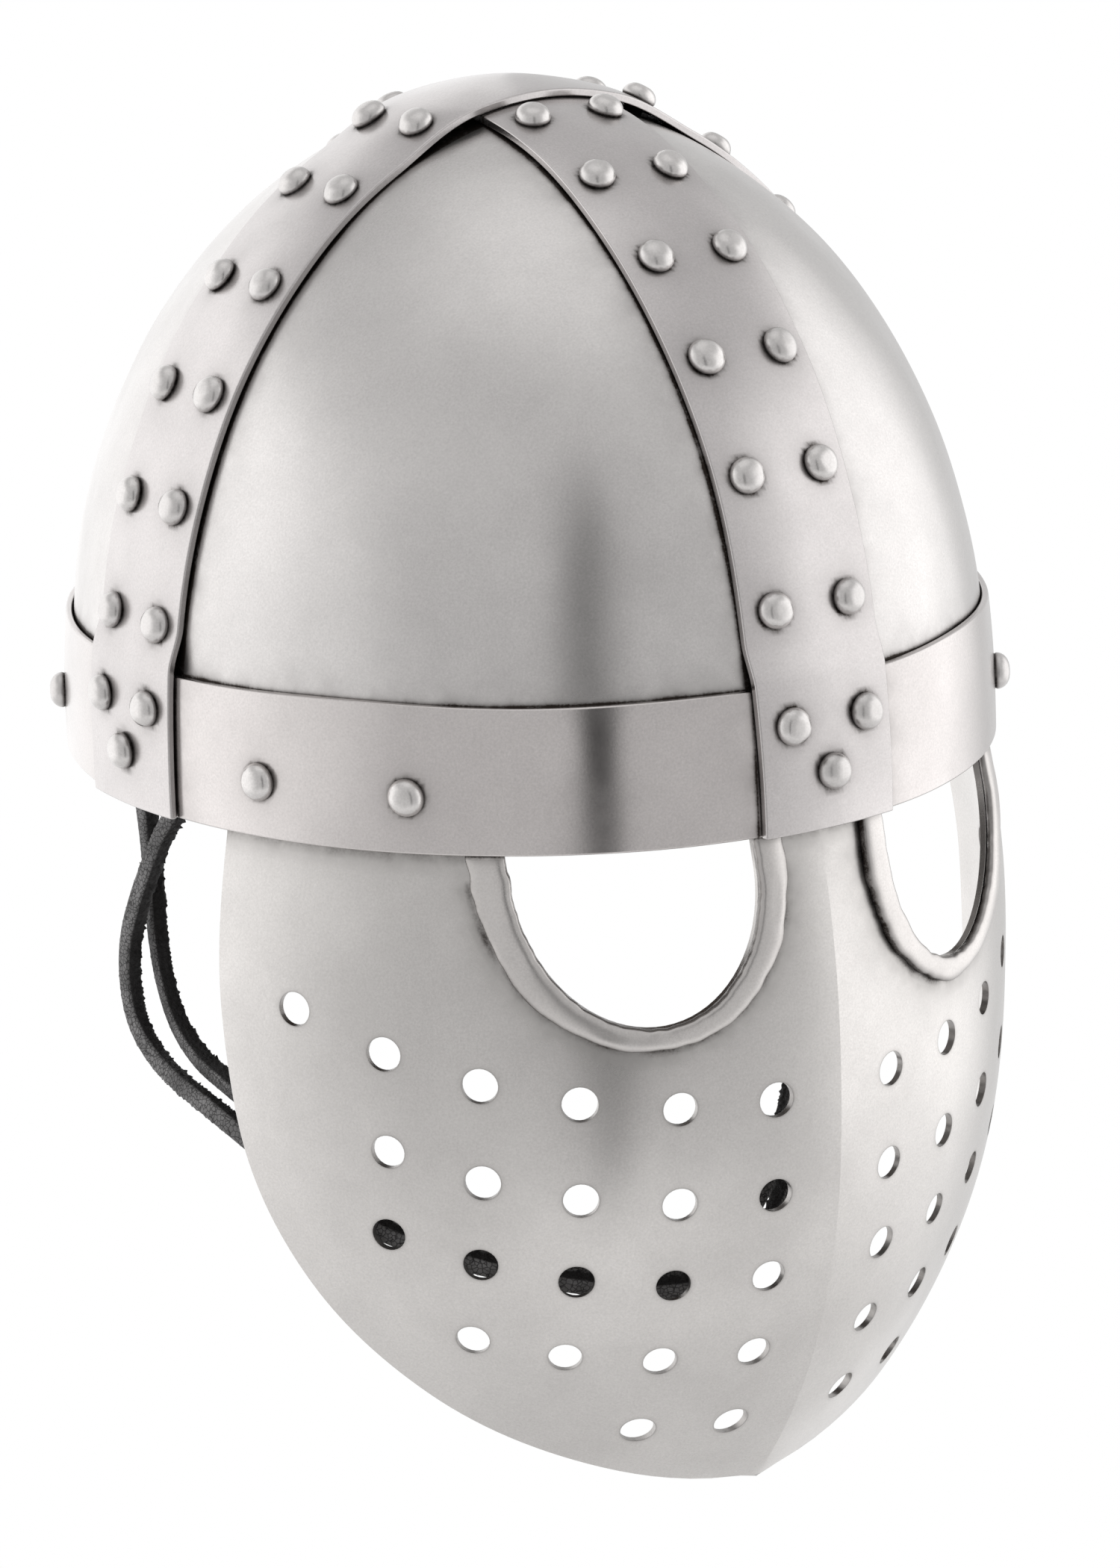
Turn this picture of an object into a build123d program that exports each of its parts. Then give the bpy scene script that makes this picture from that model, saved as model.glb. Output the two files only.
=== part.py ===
from build123d import *
import math
import os

# A riveted four-plate helmet with a perforated face plate. Millimetres.
# +Z is up, the face looks along -Y, the wearer's left is +X.
# The origin is the centre of the brow band's lower edge.

# Skull, outside, at the brow
HALF_LENGTH = 117.0
HALF_WIDTH = 107.0
CROWN_HEIGHT = 152.0
SHOULDER = 2.38  # larger is a squarer shoulder
POINT = 1.80  # smaller is a more pointed crown
WIDTH_RATIO = HALF_WIDTH / HALF_LENGTH

# Sheets and the gaps between layers
SKULL_SHEET = 1.6
BROW_SHEET = 2.0
BAND_SHEET = 2.0
PLATE_SHEET = 1.8
LEATHER = 2.0
LAYER_GAP = 0.05
PLATE_GAP = 0.2
LINER_GAP = 0.3
SEAM = 0.6  # slit between plates that meet under a band

# Brow and bands
BROW_HEIGHT = 33.0
BAND_WIDTH = 36.0
JOGGLE = 5.0  # height over which a band steps down off the brow band
CROWN_JOGGLE = 22.0  # distance over which the upper band comes down beside the crossing
SKULL_EDGE = 2.0  # skull plates end this far above the brow's lower edge

# Rivets
RIVET_HEAD_RADIUS = 4.3
RIVET_HEAD_HEIGHT = 3.1
SHANK_RADIUS = 2.4
HOLE_CLEARANCE = 0.05
TAIL_RADIUS = 3.4
TAIL_HEIGHT = 1.0
PAIR_SPACING = 20.0
FIRST_PAIR_HEIGHT = 24.5
PAIR_GAPS = {  # from pair to pair up each leg
    "front": (25.5, 29.9, 27.8, 26.7, 26.6, 26.2),
    "back": (26.0, 26.0, 26.0, 26.0, 26.0, 26.0),
    "right": (19.1, 26.8, 26.3, 27.6, 28.0, 24.0),
    "left": (25.3, 25.3, 25.3, 25.3, 25.3, 25.3)}
BROW_RIVET_HEIGHT = 13.0
EAR_SEAT = 0.2  # the level ear rivets sit this far off the sloping band
FACE_BEARINGS = (-66.5, -47.3, 47.3, 66.5)  # plan angle from the front
REAR_BEARINGS = (-150.0, -122.0, 122.0, 150.0)

# Face plate
PLATE_TOP = 20.0
CHIN_DEPTH = 167.5
BULGE_DEPTH = 55.0  # below the brow, where the keel stands furthest forward
KEEL_BULGE = 6.6
CHIN_SETBACK = 35.4
KEEL_SPREAD_TOP = 8.0  # offset of each side's centre across the keel
KEEL_SPREAD_CHIN = 11.0
SIDE_EDGE = [(-29.0, 30.0), (-30.5, -10.0), (-33.5, -42.0), (-38.0, -77.0), (-48.5, -106.0),
             (-64.0, -134.0), (-80.5, -156.5), (-92.0, -176.0)]  # side view, as (y, z)

# Eye openings and their rims
EYE_CENTRE = 42.0
EYE_HALF_WIDTH = 24.7
EYE_STRAIGHT = 8.0
EYE_DEPTH = 40.5
RIM_WIDTH = 6.4
RIM_HEIGHT = 2.2
RIM_TOP = -0.3

# Breath holes
BREATH_HOLE = 8.0
BREATH_ROWS = [(-60.5, 6), (-83.5, 5), (-104.0, 5), (-124.5, 4), (-145.0, 2)]  # height, holes each side
BREATH_FIRST = 16.5
BREATH_PITCH = 23.0
BREATH_RISE = 0.9

# Leather liner
LINER_EDGE = 6.0
LINER_TOP = 34.0
PETALS = 8
PETAL_GAP = 0.5
PETAL_INSET = 1.6
PETAL_SLOT = 5.0  # degrees between petals
CROWN_RING_RADIUS = 24.0
CROWN_CLEARANCE = 30.0
LACE = 3.0

# Chin strap
TAB_THICKNESS = 4.8
TAB_EYE_RADIUS = 8.5
TAB_FRONT = -10.0
TAB_REAR = 26.0
TAB_BOTTOM = 0.5
TAB_INNER_FACE = 92.3
RUNNING = 0.3
PIVOT_CLEARANCE = 0.1
THONG = 4.4
WASHER = 1.2
WASHER_RADIUS = 6.0
SPACER_RADIUS = 5.5

THONG_FRONT = [
    (-94.7, -6.5, 5.0), (-95.5, 8.0, -8.0), (-97.0, 14.5, -19.0), (-98.0, 21.1, -30.7),
    (-98.5, 26.0, -41.6), (-99.0, 26.4, -52.3), (-99.5, 22.8, -61.5), (-100.0, 13.0, -67.4),
    (-101.0, 0.8, -69.7), (-102.0, -12.0, -70.6), (-101.6, -25.0, -73.2), (-98.0, -42.5, -80.0),
    (-89.0, -60.0, -90.0), (-75.0, -75.5, -97.0), (-57.0, -90.0, -102.5), (-37.0, -100.5, -107.0),
    (-19.0, -105.0, -106.0), (-6.0, -104.0, -96.5), (6.0, -96.5, -84.0), (27.0, -79.0, -71.0),
    (50.0, -58.0, -55.0), (71.0, -36.0, -37.0), (86.5, -18.5, -19.5), (93.5, -9.0, -6.0),
    (94.7, -6.5, 5.0)]
THONG_REAR = [
    (-94.7, 20.5, 5.0), (-92.0, 26.0, -8.0), (-90.0, 28.0, -19.0), (-90.5, 27.0, -31.0),
    (-92.0, 24.0, -41.5), (-93.5, 19.0, -51.5), (-95.0, 10.5, -60.0), (-96.0, -1.5, -65.0),
    (-96.6, -14.0, -66.6), (-95.5, -26.0, -70.0), (-91.5, -40.5, -77.5), (-83.0, -56.0, -87.5),
    (-70.0, -70.0, -96.0), (-53.0, -84.0, -102.0), (-34.5, -94.0, -106.0), (-18.0, -97.5, -103.0),
    (-4.0, -95.5, -93.5), (11.0, -86.5, -81.0), (29.0, -69.0, -68.5), (49.0, -47.0, -53.5),
    (69.0, -22.5, -36.5), (84.5, 0.0, -20.0), (92.5, 14.0, -7.0), (94.7, 20.5, 5.0)]


# ---------------------------------------------------------------- dome shape

def skin_point(angle, offset):
    """Radius and height on the skull's outline, 0 degrees at the brow and 90 at the crown."""
    around = max(math.cos(math.radians(angle)), 0.0)
    rise = math.sin(math.radians(angle))
    radius = (HALF_LENGTH + offset) * around ** (2 / POINT)
    return radius, (CROWN_HEIGHT + offset) * rise ** (2 / SHOULDER)


def skin_radius(height, offset):
    """Radius along the long axis at a height, for a surface offset outwards from the skull."""
    share = max(height, 0.0) / (CROWN_HEIGHT + offset)
    return (HALF_LENGTH + offset) * (1 - min(share, 1.0) ** SHOULDER) ** (1 / POINT)


def smooth(value):
    value = min(max(value, 0.0), 1.0)
    return value * value * (3 - 2 * value)


def over_brow(height):
    """1 where a band lies over the brow band, 0 above its joggle."""
    return 1 - smooth((height - BROW_HEIGHT - 0.5) / JOGGLE)


def over_crown(radius):
    """1 where the transverse band lies over the front-to-back band, 0 beyond its joggle."""
    corner = math.hypot(BAND_WIDTH / 2 / WIDTH_RATIO, BAND_WIDTH / 2)
    return 1 - smooth((radius - corner - 0.5) / CROWN_JOGGLE)


def plain(offset):
    return lambda radius, height: offset


def band_layer(level, crossing):
    """Offset of a band's face: it steps out over the brow and, if it crosses, over the other band."""
    def offset(radius, height):
        out = LAYER_GAP + level
        out += over_brow(height) * (BROW_SHEET + LAYER_GAP)
        if crossing:
            out += over_crown(radius) * (BAND_SHEET + LAYER_GAP)
        return out
    return offset


def ribbon(front, back):
    """Closed thin outline between two curves of (radius, height) points."""
    with BuildSketch(Plane.XZ) as outline:
        with BuildLine():
            Spline(*front)
            Line(front[-1], back[-1])
            Spline(*back[::-1])
            Line(back[0], front[0])
        make_face()
    return outline.sketch


def quarter(outline, start):
    """Quarter turn of an outline about the helmet's axis, drawn in to the helmet's width."""
    turn = revolve(outline, axis=Axis.Z, revolution_arc=90)
    return scale(Rot(0, 0, start) * turn, by=(WIDTH_RATIO, 1, 1))


def dome_outline(outer, inner, angles):
    """Section of a dome layer from the brow's lower edge to the crown."""
    curves = []
    for offset in (outer, inner):
        curves.append([skin_point(angle, offset(*skin_point(angle, 0))) for angle in angles])
    return ribbon(*curves)


def hoop(outer, inner, low, high, steps=4):
    """Ring of a layer between two heights, made of four quarters."""
    heights = [low + (high - low) * i / steps for i in range(steps + 1)]
    front = [(skin_radius(h, outer), h) for h in heights]
    back = [(skin_radius(h, inner), h) for h in heights]
    quarters = [quarter(ribbon(front, back), start) for start in QUARTERS]
    return quarters[0] + quarters[1:]


QUARTERS = (0, 90, 180, 270)
SKULL_ANGLES = [7.5 * i for i in range(13)]
BAND_ANGLES = sorted([2 * i for i in range(46)] + [9, 11, 13])  # closer at the step over the brow band


def block(low, high):
    size = [high[i] - low[i] for i in range(3)]
    return Pos(*low) * Box(*size, align=(Align.MIN, Align.MIN, Align.MIN))


BIG = 400.0
CROWN_TOP = CROWN_HEIGHT + 30


# ---------------------------------------------------------------- rivet places

def leg_point(leg, lateral, radius, height):
    """Point on a leg of the bands, at a distance across it."""
    if leg in ("front", "back"):
        sign = -1 if leg == "front" else 1
        return Vector(lateral, sign * math.sqrt(radius ** 2 - (lateral / WIDTH_RATIO) ** 2), height)
    sign = 1 if leg == "left" else -1
    return Vector(sign * WIDTH_RATIO * math.sqrt(radius ** 2 - lateral ** 2), lateral, height)


def brow_point(bearing, height, offset):
    """Point on the brow at a plan angle from the front, positive towards the wearer's left."""
    side, ahead = math.sin(math.radians(bearing)), math.cos(math.radians(bearing))
    reach = skin_radius(height, offset) / math.hypot(side / WIDTH_RATIO, ahead)
    return Vector(reach * side, -reach * ahead, height)


def normal_at(point, lean):
    """Outward normal at a point where the outline's radius falls by a lean for each mm up."""
    around = math.hypot(point.X / WIDTH_RATIO, point.Y)
    return Vector(point.X / WIDTH_RATIO ** 2 / around, point.Y / around, lean).normalized()


def lean_at(height, offset):
    return skin_radius(height - 0.5, offset) - skin_radius(height + 0.5, offset)


def band_face(angle, crossing):
    """Radius and height on a band's outer face."""
    radius, height = skin_point(angle, 0)
    return skin_point(angle, band_layer(BAND_SHEET, crossing)(radius, height))


def pair_angles(leg):
    """Outline angles of the rivet pairs, up the leg from the brow."""
    crossing = leg in ("right", "left")
    ratio = WIDTH_RATIO if crossing else 1
    angles = []
    angle = 0.0
    while len(angles) <= len(PAIR_GAPS[leg]):
        angle += 0.1
        radius, height = band_face(angle, crossing)
        if not angles and height < FIRST_PAIR_HEIGHT:
            continue
        step = PAIR_GAPS[leg][len(angles) - 1] if angles else 0
        if not angles or math.hypot(ratio * (radius - last[0]), height - last[1]) >= step:
            angles.append(angle)
            last = (radius, height)
    return angles


OVER_BOTH = 2 * LAYER_GAP + BROW_SHEET + BAND_SHEET
OVER_SKULL = LAYER_GAP + BAND_SHEET
OVER_BROW = LAYER_GAP + BROW_SHEET
SKULL_INSIDE = -SKULL_SHEET
PLATE_OUTSIDE = SKULL_INSIDE - PLATE_GAP
LINER_OUTSIDE = PLATE_OUTSIDE - PLATE_SHEET - LINER_GAP
LINER_INSIDE = LINER_OUTSIDE - LEATHER


def pair_places(leg):
    """Seats of a leg's rivet pairs: the outer point, its normal and the layer of the inner face."""
    crossing = leg in ("right", "left")
    places = []
    for angle in pair_angles(leg):
        radius, height = band_face(angle, crossing)
        below, above = band_face(angle - 0.3, crossing), band_face(angle + 0.3, crossing)
        lean = (below[0] - above[0]) / (above[1] - below[1])
        for lateral in (-PAIR_SPACING / 2, PAIR_SPACING / 2):
            point = leg_point(leg, lateral, radius, height)
            places.append((point, normal_at(point, lean), SKULL_INSIDE))
    return places


def single_place(leg):
    point = leg_point(leg, 0, skin_radius(BROW_RIVET_HEIGHT, OVER_BOTH), BROW_RIVET_HEIGHT)
    return point, normal_at(point, lean_at(BROW_RIVET_HEIGHT, OVER_BOTH)), LINER_INSIDE


def ear_place(leg):
    """Seat of an ear rivet, which lies level along X so that the strap swings about it."""
    point = leg_point(leg, 0, skin_radius(BROW_RIVET_HEIGHT, OVER_BOTH + EAR_SEAT), BROW_RIVET_HEIGHT)
    return point, Vector(point.X, 0, 0).normalized(), LINER_INSIDE


def brow_places(bearings):
    points = [brow_point(b, BROW_RIVET_HEIGHT, OVER_BROW) for b in bearings]
    lean = lean_at(BROW_RIVET_HEIGHT, OVER_BROW)
    return [(point, normal_at(point, lean), LINER_INSIDE) for point in points]


def depth_to(point, normal, offset):
    """Distance straight in from a seat to a layer of the skull."""
    near_side, far_side = 0.0, 30.0
    for _ in range(40):
        middle = (near_side + far_side) / 2
        p = point - normal * middle
        if math.hypot(p.X / WIDTH_RATIO, p.Y) > skin_radius(p.Z, offset):
            near_side = middle
        else:
            far_side = middle
    return near_side


def frame_at(place):
    """Plane on a rivet's seat, its Z pointing out of the helmet, and the grip down to the inner face."""
    point, normal, inner_offset = place
    return Plane(origin=point, z_dir=normal), depth_to(point, normal, inner_offset)


FACE_PLACES = brow_places(FACE_BEARINGS) + [single_place("front")]
REAR_PLACES = brow_places(REAR_BEARINGS) + [single_place("back")]
EAR_PLACES = [ear_place("right"), ear_place("left")]
PAIR_PLACES = {leg: pair_places(leg) for leg in PAIR_GAPS}
EAR_INSIDE = abs(EAR_PLACES[0][0].X) - frame_at(EAR_PLACES[0])[1]


def tail_gap(place):
    """Room over a pair's tails, which tilt where the upper band slopes away from the skull."""
    point, normal, _ = place
    tilt = math.radians(normal.get_angle(normal_at(point, lean_at(point.Z, 0))))
    return LINER_GAP / 3 + TAIL_RADIUS * math.tan(tilt)


def rivet(place, extra):
    """One domed rivet: head, shank and flattened tail, extra deep past the inner face."""
    plane, grip = frame_at(place)
    depth = grip + extra
    flare = TAIL_RADIUS - 0.6
    with BuildPart() as body:
        with BuildSketch(Plane.XZ):
            with BuildLine():
                Line((0, RIVET_HEAD_HEIGHT), (0, -depth - TAIL_HEIGHT))
                Line((0, -depth - TAIL_HEIGHT), (flare, -depth - TAIL_HEIGHT))
                Line((flare, -depth - TAIL_HEIGHT), (TAIL_RADIUS, -depth))
                Line((TAIL_RADIUS, -depth), (SHANK_RADIUS, -depth))
                Line((SHANK_RADIUS, -depth), (SHANK_RADIUS, LAYER_GAP))
                Line((SHANK_RADIUS, LAYER_GAP), (RIVET_HEAD_RADIUS, LAYER_GAP))
                RadiusArc((RIVET_HEAD_RADIUS, LAYER_GAP), (0, RIVET_HEAD_HEIGHT), -head_sphere())
            make_face()
        revolve(axis=Axis.Z)
    return plane.location * body.part


def head_sphere():
    rise = RIVET_HEAD_HEIGHT - LAYER_GAP
    return (RIVET_HEAD_RADIUS ** 2 + rise ** 2) / (2 * rise)


def drill(places, radius=SHANK_RADIUS + HOLE_CLEARANCE, depth=40.0):
    """Rods that cut the rivet holes through every layer."""
    rods = []
    for place in places:
        plane, _ = frame_at(place)
        rods.append(plane.location * Cylinder(radius, depth))
    return rods


def drilled(piece, places):
    for rod in drill(places):
        piece = piece - rod
    return piece


def near(piece, places):
    """The places whose rivet comes within reach of a piece."""
    box = piece.bounding_box()
    low = box.min - Vector(1, 1, 1) * RIVET_HEAD_RADIUS
    high = box.max + Vector(1, 1, 1) * RIVET_HEAD_RADIUS
    return [p for p in places if all(l <= v <= h for l, v, h in zip(low, p[0], high))]


def all_places():
    places = FACE_PLACES + REAR_PLACES + EAR_PLACES
    for leg in PAIR_PLACES:
        places = places + PAIR_PLACES[leg]
    return places


# ---------------------------------------------------------------- steel pieces

def skull_plates():
    """Four quarter plates that meet under the middle of the bands."""
    outline = dome_outline(plain(0), plain(-SKULL_SHEET), SKULL_ANGLES)
    names = ("rear_left", "rear_right", "front_right", "front_left")
    gap = SEAM / 2
    plates = {}
    for name, start in zip(names, QUARTERS):
        corner = Rot(0, 0, start) * block((gap, gap, SKULL_EDGE), (BIG, BIG, CROWN_TOP))
        plate = quarter(outline, start) & corner
        plates[f"skull_{name}"] = drilled(plate, near(plate, all_places()))
    return plates


def brow_band():
    """Strip round the skull, its ends meeting at the back."""
    ring = hoop(OVER_BROW, LAYER_GAP, 0, BROW_HEIGHT)
    ring = ring - block((-SEAM / 2, 0, -1), (SEAM / 2, BIG, BROW_HEIGHT + 1))
    return drilled(ring, [p for p in all_places() if p[0].Z < BROW_HEIGHT])


def band(crossing, legs, singles):
    """One band over the skull, down over the brow band to its lower edge."""
    outline = dome_outline(band_layer(BAND_SHEET, crossing), band_layer(0, crossing), BAND_ANGLES)
    half = BAND_WIDTH / 2
    if crossing:
        strip = block((-BIG, -half, 0), (BIG, half, CROWN_TOP))
    else:
        strip = block((-half, -BIG, 0), (half, BIG, CROWN_TOP))
    parts = [quarter(outline, start) & strip for start in QUARTERS]
    arch = parts[0] + parts[1:]
    for leg in legs:
        arch = drilled(arch, PAIR_PLACES[leg])
    return drilled(arch, singles)


SECTION_HEIGHTS = (30, 25, 20, 15, 10, 5, 0, -5, -11, -22, -38, -55, -75, -95, -115, -135, -153, -180)


def keel_reach(height):
    """How far forward the keel stands at a height."""
    if height >= 0:
        return skin_radius(height, PLATE_OUTSIDE)
    brow = skin_radius(0, PLATE_OUTSIDE)
    fall = -height - BULGE_DEPTH
    if fall < 0:
        return brow + KEEL_BULGE * (1 - (fall / BULGE_DEPTH) ** 2)
    return brow + KEEL_BULGE - CHIN_SETBACK * (fall / (CHIN_DEPTH - BULGE_DEPTH)) ** 2.5


def plate_reach(angle, height, offset):
    """Distance from the helmet's axis to the face plate, at a plan angle from the keel."""
    side, ahead = math.sin(math.radians(angle)), math.cos(math.radians(angle))
    keel = keel_reach(height)
    oval = keel / math.hypot(side / WIDTH_RATIO, ahead)
    spread = KEEL_SPREAD_TOP + (KEEL_SPREAD_CHIN - KEEL_SPREAD_TOP) * min(max(-height / CHIN_DEPTH, 0), 1)
    radius = math.hypot(keel, spread)
    keeled = math.sqrt(radius ** 2 - (spread * ahead) ** 2) - spread * side
    share = smooth(-height / (0.8 * BULGE_DEPTH))
    slope = (keel_reach(height + 1) - keel_reach(height - 1)) / 2
    return (1 - share) * oval + share * keeled + offset * math.hypot(1, slope)


def plate_point(angle, height, offset):
    reach = plate_reach(angle, height, offset)
    return Vector(reach * math.sin(math.radians(angle)), -reach * math.cos(math.radians(angle)), height)


def plate_layer(outer, inner):
    """Left half of a sheet that follows the face plate, lofted through level sections."""
    angles = [0, 15, 30, 45, 60, 75, 90]
    sections = []
    for height in SECTION_HEIGHTS:
        front = [plate_point(a, height, outer) for a in angles]
        back = [plate_point(a, height, inner) for a in angles]
        edges = [Spline(*front), Line(front[-1], back[-1]), Spline(*back[::-1]), Line(back[0], front[0])]
        sections.append(make_face(Wire(edges).edges()))
    return loft(sections)


def eye_outline(grow):
    """Eye opening of one side, seen from the front, open at the top."""
    half = EYE_HALF_WIDTH + grow
    depth = EYE_DEPTH + 0.75 * grow - EYE_STRAIGHT
    with BuildSketch(Plane.XZ) as outline:
        with Locations((EYE_CENTRE, -EYE_STRAIGHT)):
            Ellipse(half, depth)
        with Locations((EYE_CENTRE, (BIG - EYE_STRAIGHT) / 2)):
            Rectangle(2 * half, BIG + EYE_STRAIGHT)
    return outline.sketch


def eye_cutter(grow, top):
    """Rod with the eye outline, along Y through the front of the face."""
    rod = extrude(eye_outline(grow), amount=BIG, both=True)
    return rod & block((0, -BIG, -BIG), (BIG, 0, top))


def front_of_edge():
    """Everything in front of the face plate's free edge, seen from the side."""
    outer = [Vector(0, y, z) for y, z in SIDE_EDGE]
    top, low = outer[0], outer[-1]
    edges = [Spline(*outer), Line(low, Vector(0, -BIG, low.Z)),
             Line(Vector(0, -BIG, low.Z), Vector(0, -BIG, top.Z)), Line(Vector(0, -BIG, top.Z), top)]
    return extrude(make_face(Wire(edges).edges()), amount=BIG, dir=(1, 0, 0))


def breath_drills():
    """Rods for the breath holes of the left half."""
    rods = []
    for height, count in BREATH_ROWS:
        for i in range(count):
            level = height + BREATH_RISE * i * i
            angle = math.degrees((BREATH_FIRST + BREATH_PITCH * i) / keel_reach(level))
            centre = plate_point(angle, level, 0)
            across = plate_point(angle + 1, level, 0) - plate_point(angle - 1, level, 0)
            upward = plate_point(angle, level + 1, 0) - plate_point(angle, level - 1, 0)
            plane = Plane(origin=centre, z_dir=across.cross(upward))
            rods.append(plane.location * Cylinder(BREATH_HOLE / 2, 30))
    return rods


def face_plate():
    half = plate_layer(0, -PLATE_SHEET) & front_of_edge()
    half = half & block((-1, -BIG, -BIG), (BIG, BIG, PLATE_TOP))
    half = half - eye_cutter(0, 0.0)
    for rod in breath_drills():
        half = half - rod
    whole = half + mirror(half, about=Plane.YZ)
    return drilled(whole, FACE_PLACES)


def eye_rim():
    """Raised strip round the left eye opening, lying on the face plate."""
    sheet = plate_layer(LAYER_GAP + RIM_HEIGHT, LAYER_GAP)
    ring = eye_cutter(RIM_WIDTH, RIM_TOP) - eye_cutter(0, 5.0)
    return sheet & ring


# ---------------------------------------------------------------- leather liner

def liner_band():
    ring = hoop(LINER_OUTSIDE, LINER_INSIDE, LINER_EDGE, LINER_TOP)
    return drilled(ring, FACE_PLACES + REAR_PLACES + EAR_PLACES)


def petal(index):
    """One leather petal, from the liner band's top edge in towards the crown."""
    start_radius = skin_radius(LINER_TOP, LINER_OUTSIDE) - PETAL_INSET
    top = CROWN_HEIGHT - CROWN_CLEARANCE
    rise = top - LINER_TOP
    outer = []
    inner = []
    for i in range(6):
        share = i / 5
        radius = start_radius + (CROWN_RING_RADIUS - start_radius) * share
        reach = (start_radius - radius) / start_radius
        height = LINER_TOP + PETAL_GAP + rise * math.sqrt(max(0.0, 1 - (1 - reach) ** 2.2))
        outer.append((radius, height))
        inner.append((radius - LEATHER, height - LEATHER * share))
    strip = revolve(ribbon(outer, inner), axis=Axis.Z, revolution_arc=360 / PETALS - PETAL_SLOT)
    turned = Rot(0, 0, 360 / PETALS * index + PETAL_SLOT / 2) * strip
    return scale(turned, by=(WIDTH_RATIO, 1, 1))


def crown_lace():
    """Lace that draws the petals' tips together, just under them."""
    ring = Torus(CROWN_RING_RADIUS + LACE, LACE / 2)
    height = CROWN_HEIGHT - CROWN_CLEARANCE - LEATHER - LACE - 2 * PETAL_GAP
    return scale(Pos(0, 0, height) * ring, by=(WIDTH_RATIO, 1, 1))


def plate_packing():
    """Washers as thick as the face plate, where it doesn't reach behind the brow rivets."""
    pieces = []
    for place in REAR_PLACES + EAR_PLACES:
        plane, grip = frame_at(place)
        leather = LEATHER * WIDTH_RATIO if place in EAR_PLACES else LEATHER
        top = grip - leather - LINER_GAP / 2
        thick = (PLATE_SHEET + PLATE_GAP) * WIDTH_RATIO - LINER_GAP / 2
        pieces.append(ring_at(plane, SPACER_RADIUS, -top, thick))
    return pieces


def ring_at(plane, radius, low, thick, bore=SHANK_RADIUS + HOLE_CLEARANCE):
    """Washer round a rivet's shank, its lower face at a depth below the rivet's seat."""
    washer = Pos(0, 0, low + thick / 2) * (Cylinder(radius, thick) - Cylinder(bore, thick + 2))
    return plane.location * washer


def liner_washers():
    pieces = []
    for place in FACE_PLACES + REAR_PLACES:
        plane, grip = frame_at(place)
        pieces.append(ring_at(plane, WASHER_RADIUS, -grip - LINER_GAP - WASHER, WASHER))
    return pieces


# ---------------------------------------------------------------- chin strap

def tab_outline():
    """Strap tab seen from the wearer's left: round eye above, wide lower edge."""
    eye = Pos(0, BROW_RIVET_HEIGHT) * Circle(TAB_EYE_RADIUS)
    corners = [(TAB_FRONT, TAB_BOTTOM), (TAB_REAR, TAB_BOTTOM), (TAB_REAR, TAB_BOTTOM + 8),
               (5.0, BROW_RIVET_HEIGHT + TAB_EYE_RADIUS - 1.5), (-5.0, BROW_RIVET_HEIGHT + TAB_EYE_RADIUS - 1.5),
               (TAB_FRONT, TAB_BOTTOM + 8)]
    return eye + make_face(Polyline(*corners, close=True))


def strap_tab(side):
    """Leather tab that hangs on the ear rivet and holds both thongs."""
    inner = side * TAB_INNER_FACE
    plane = Plane(origin=(inner, 0, 0), x_dir=(0, 1, 0), z_dir=(1, 0, 0))
    tab = extrude(plane * tab_outline(), amount=side * TAB_THICKNESS)
    bore = Cylinder(SHANK_RADIUS + PIVOT_CLEARANCE, BIG, rotation=(0, 90, 0))
    return tab - Pos(0, 0, BROW_RIVET_HEIGHT) * bore


def ear_rivet(side):
    """Ear rivet: it also carries the spacer, the strap tab and a washer."""
    place = EAR_PLACES[0] if side < 0 else EAR_PLACES[1]
    return rivet(place, EAR_INSIDE - TAB_INNER_FACE + 2 * RUNNING + WASHER)


def ear_spacer(side):
    outer_face = EAR_INSIDE - LINER_GAP
    thick = outer_face - (TAB_INNER_FACE + TAB_THICKNESS + RUNNING)
    return x_ring(side, outer_face - thick, thick, SPACER_RADIUS)


def x_ring(side, inner_face, thick, radius):
    """Washer on the ear rivet's axis."""
    ring = Cylinder(radius, thick) - Cylinder(SHANK_RADIUS + HOLE_CLEARANCE, thick + 2)
    return Pos(side * (inner_face + thick / 2), 0, BROW_RIVET_HEIGHT) * (Rot(0, 90, 0) * ring)


def ear_washer(side):
    return x_ring(side, TAB_INNER_FACE - RUNNING - WASHER, WASHER, WASHER_RADIUS)


def thong(name, route):
    """Thong along straight runs joined by tangent arcs."""
    points = [Vector(*p) for p in route]
    runs = [(b - a) for a, b in zip(points, points[1:])]
    radii = []
    for before, after in zip(runs, runs[1:]):
        turn = math.radians(before.get_angle(after))
        radii.append(0.45 * min(before.length, after.length) / math.tan(turn / 2))
    path = FilletPolyline(*route, radius=radii)
    section = Plane(origin=points[0], z_dir=runs[0]) * Circle(THONG / 2)
    tube = sweep(section, path=path)
    ideal = math.pi * (THONG / 2) ** 2 * path.length
    print(name, "length", round(path.length, 1), "smallest radius", round(min(radii), 1),
          "radii", [round(r) for r in radii], "volume share", round(tube.volume / ideal, 4))
    return tube


# ---------------------------------------------------------------- all nodes

def group(pieces):
    return Compound(children=[p.solid() for p in pieces])


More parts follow.
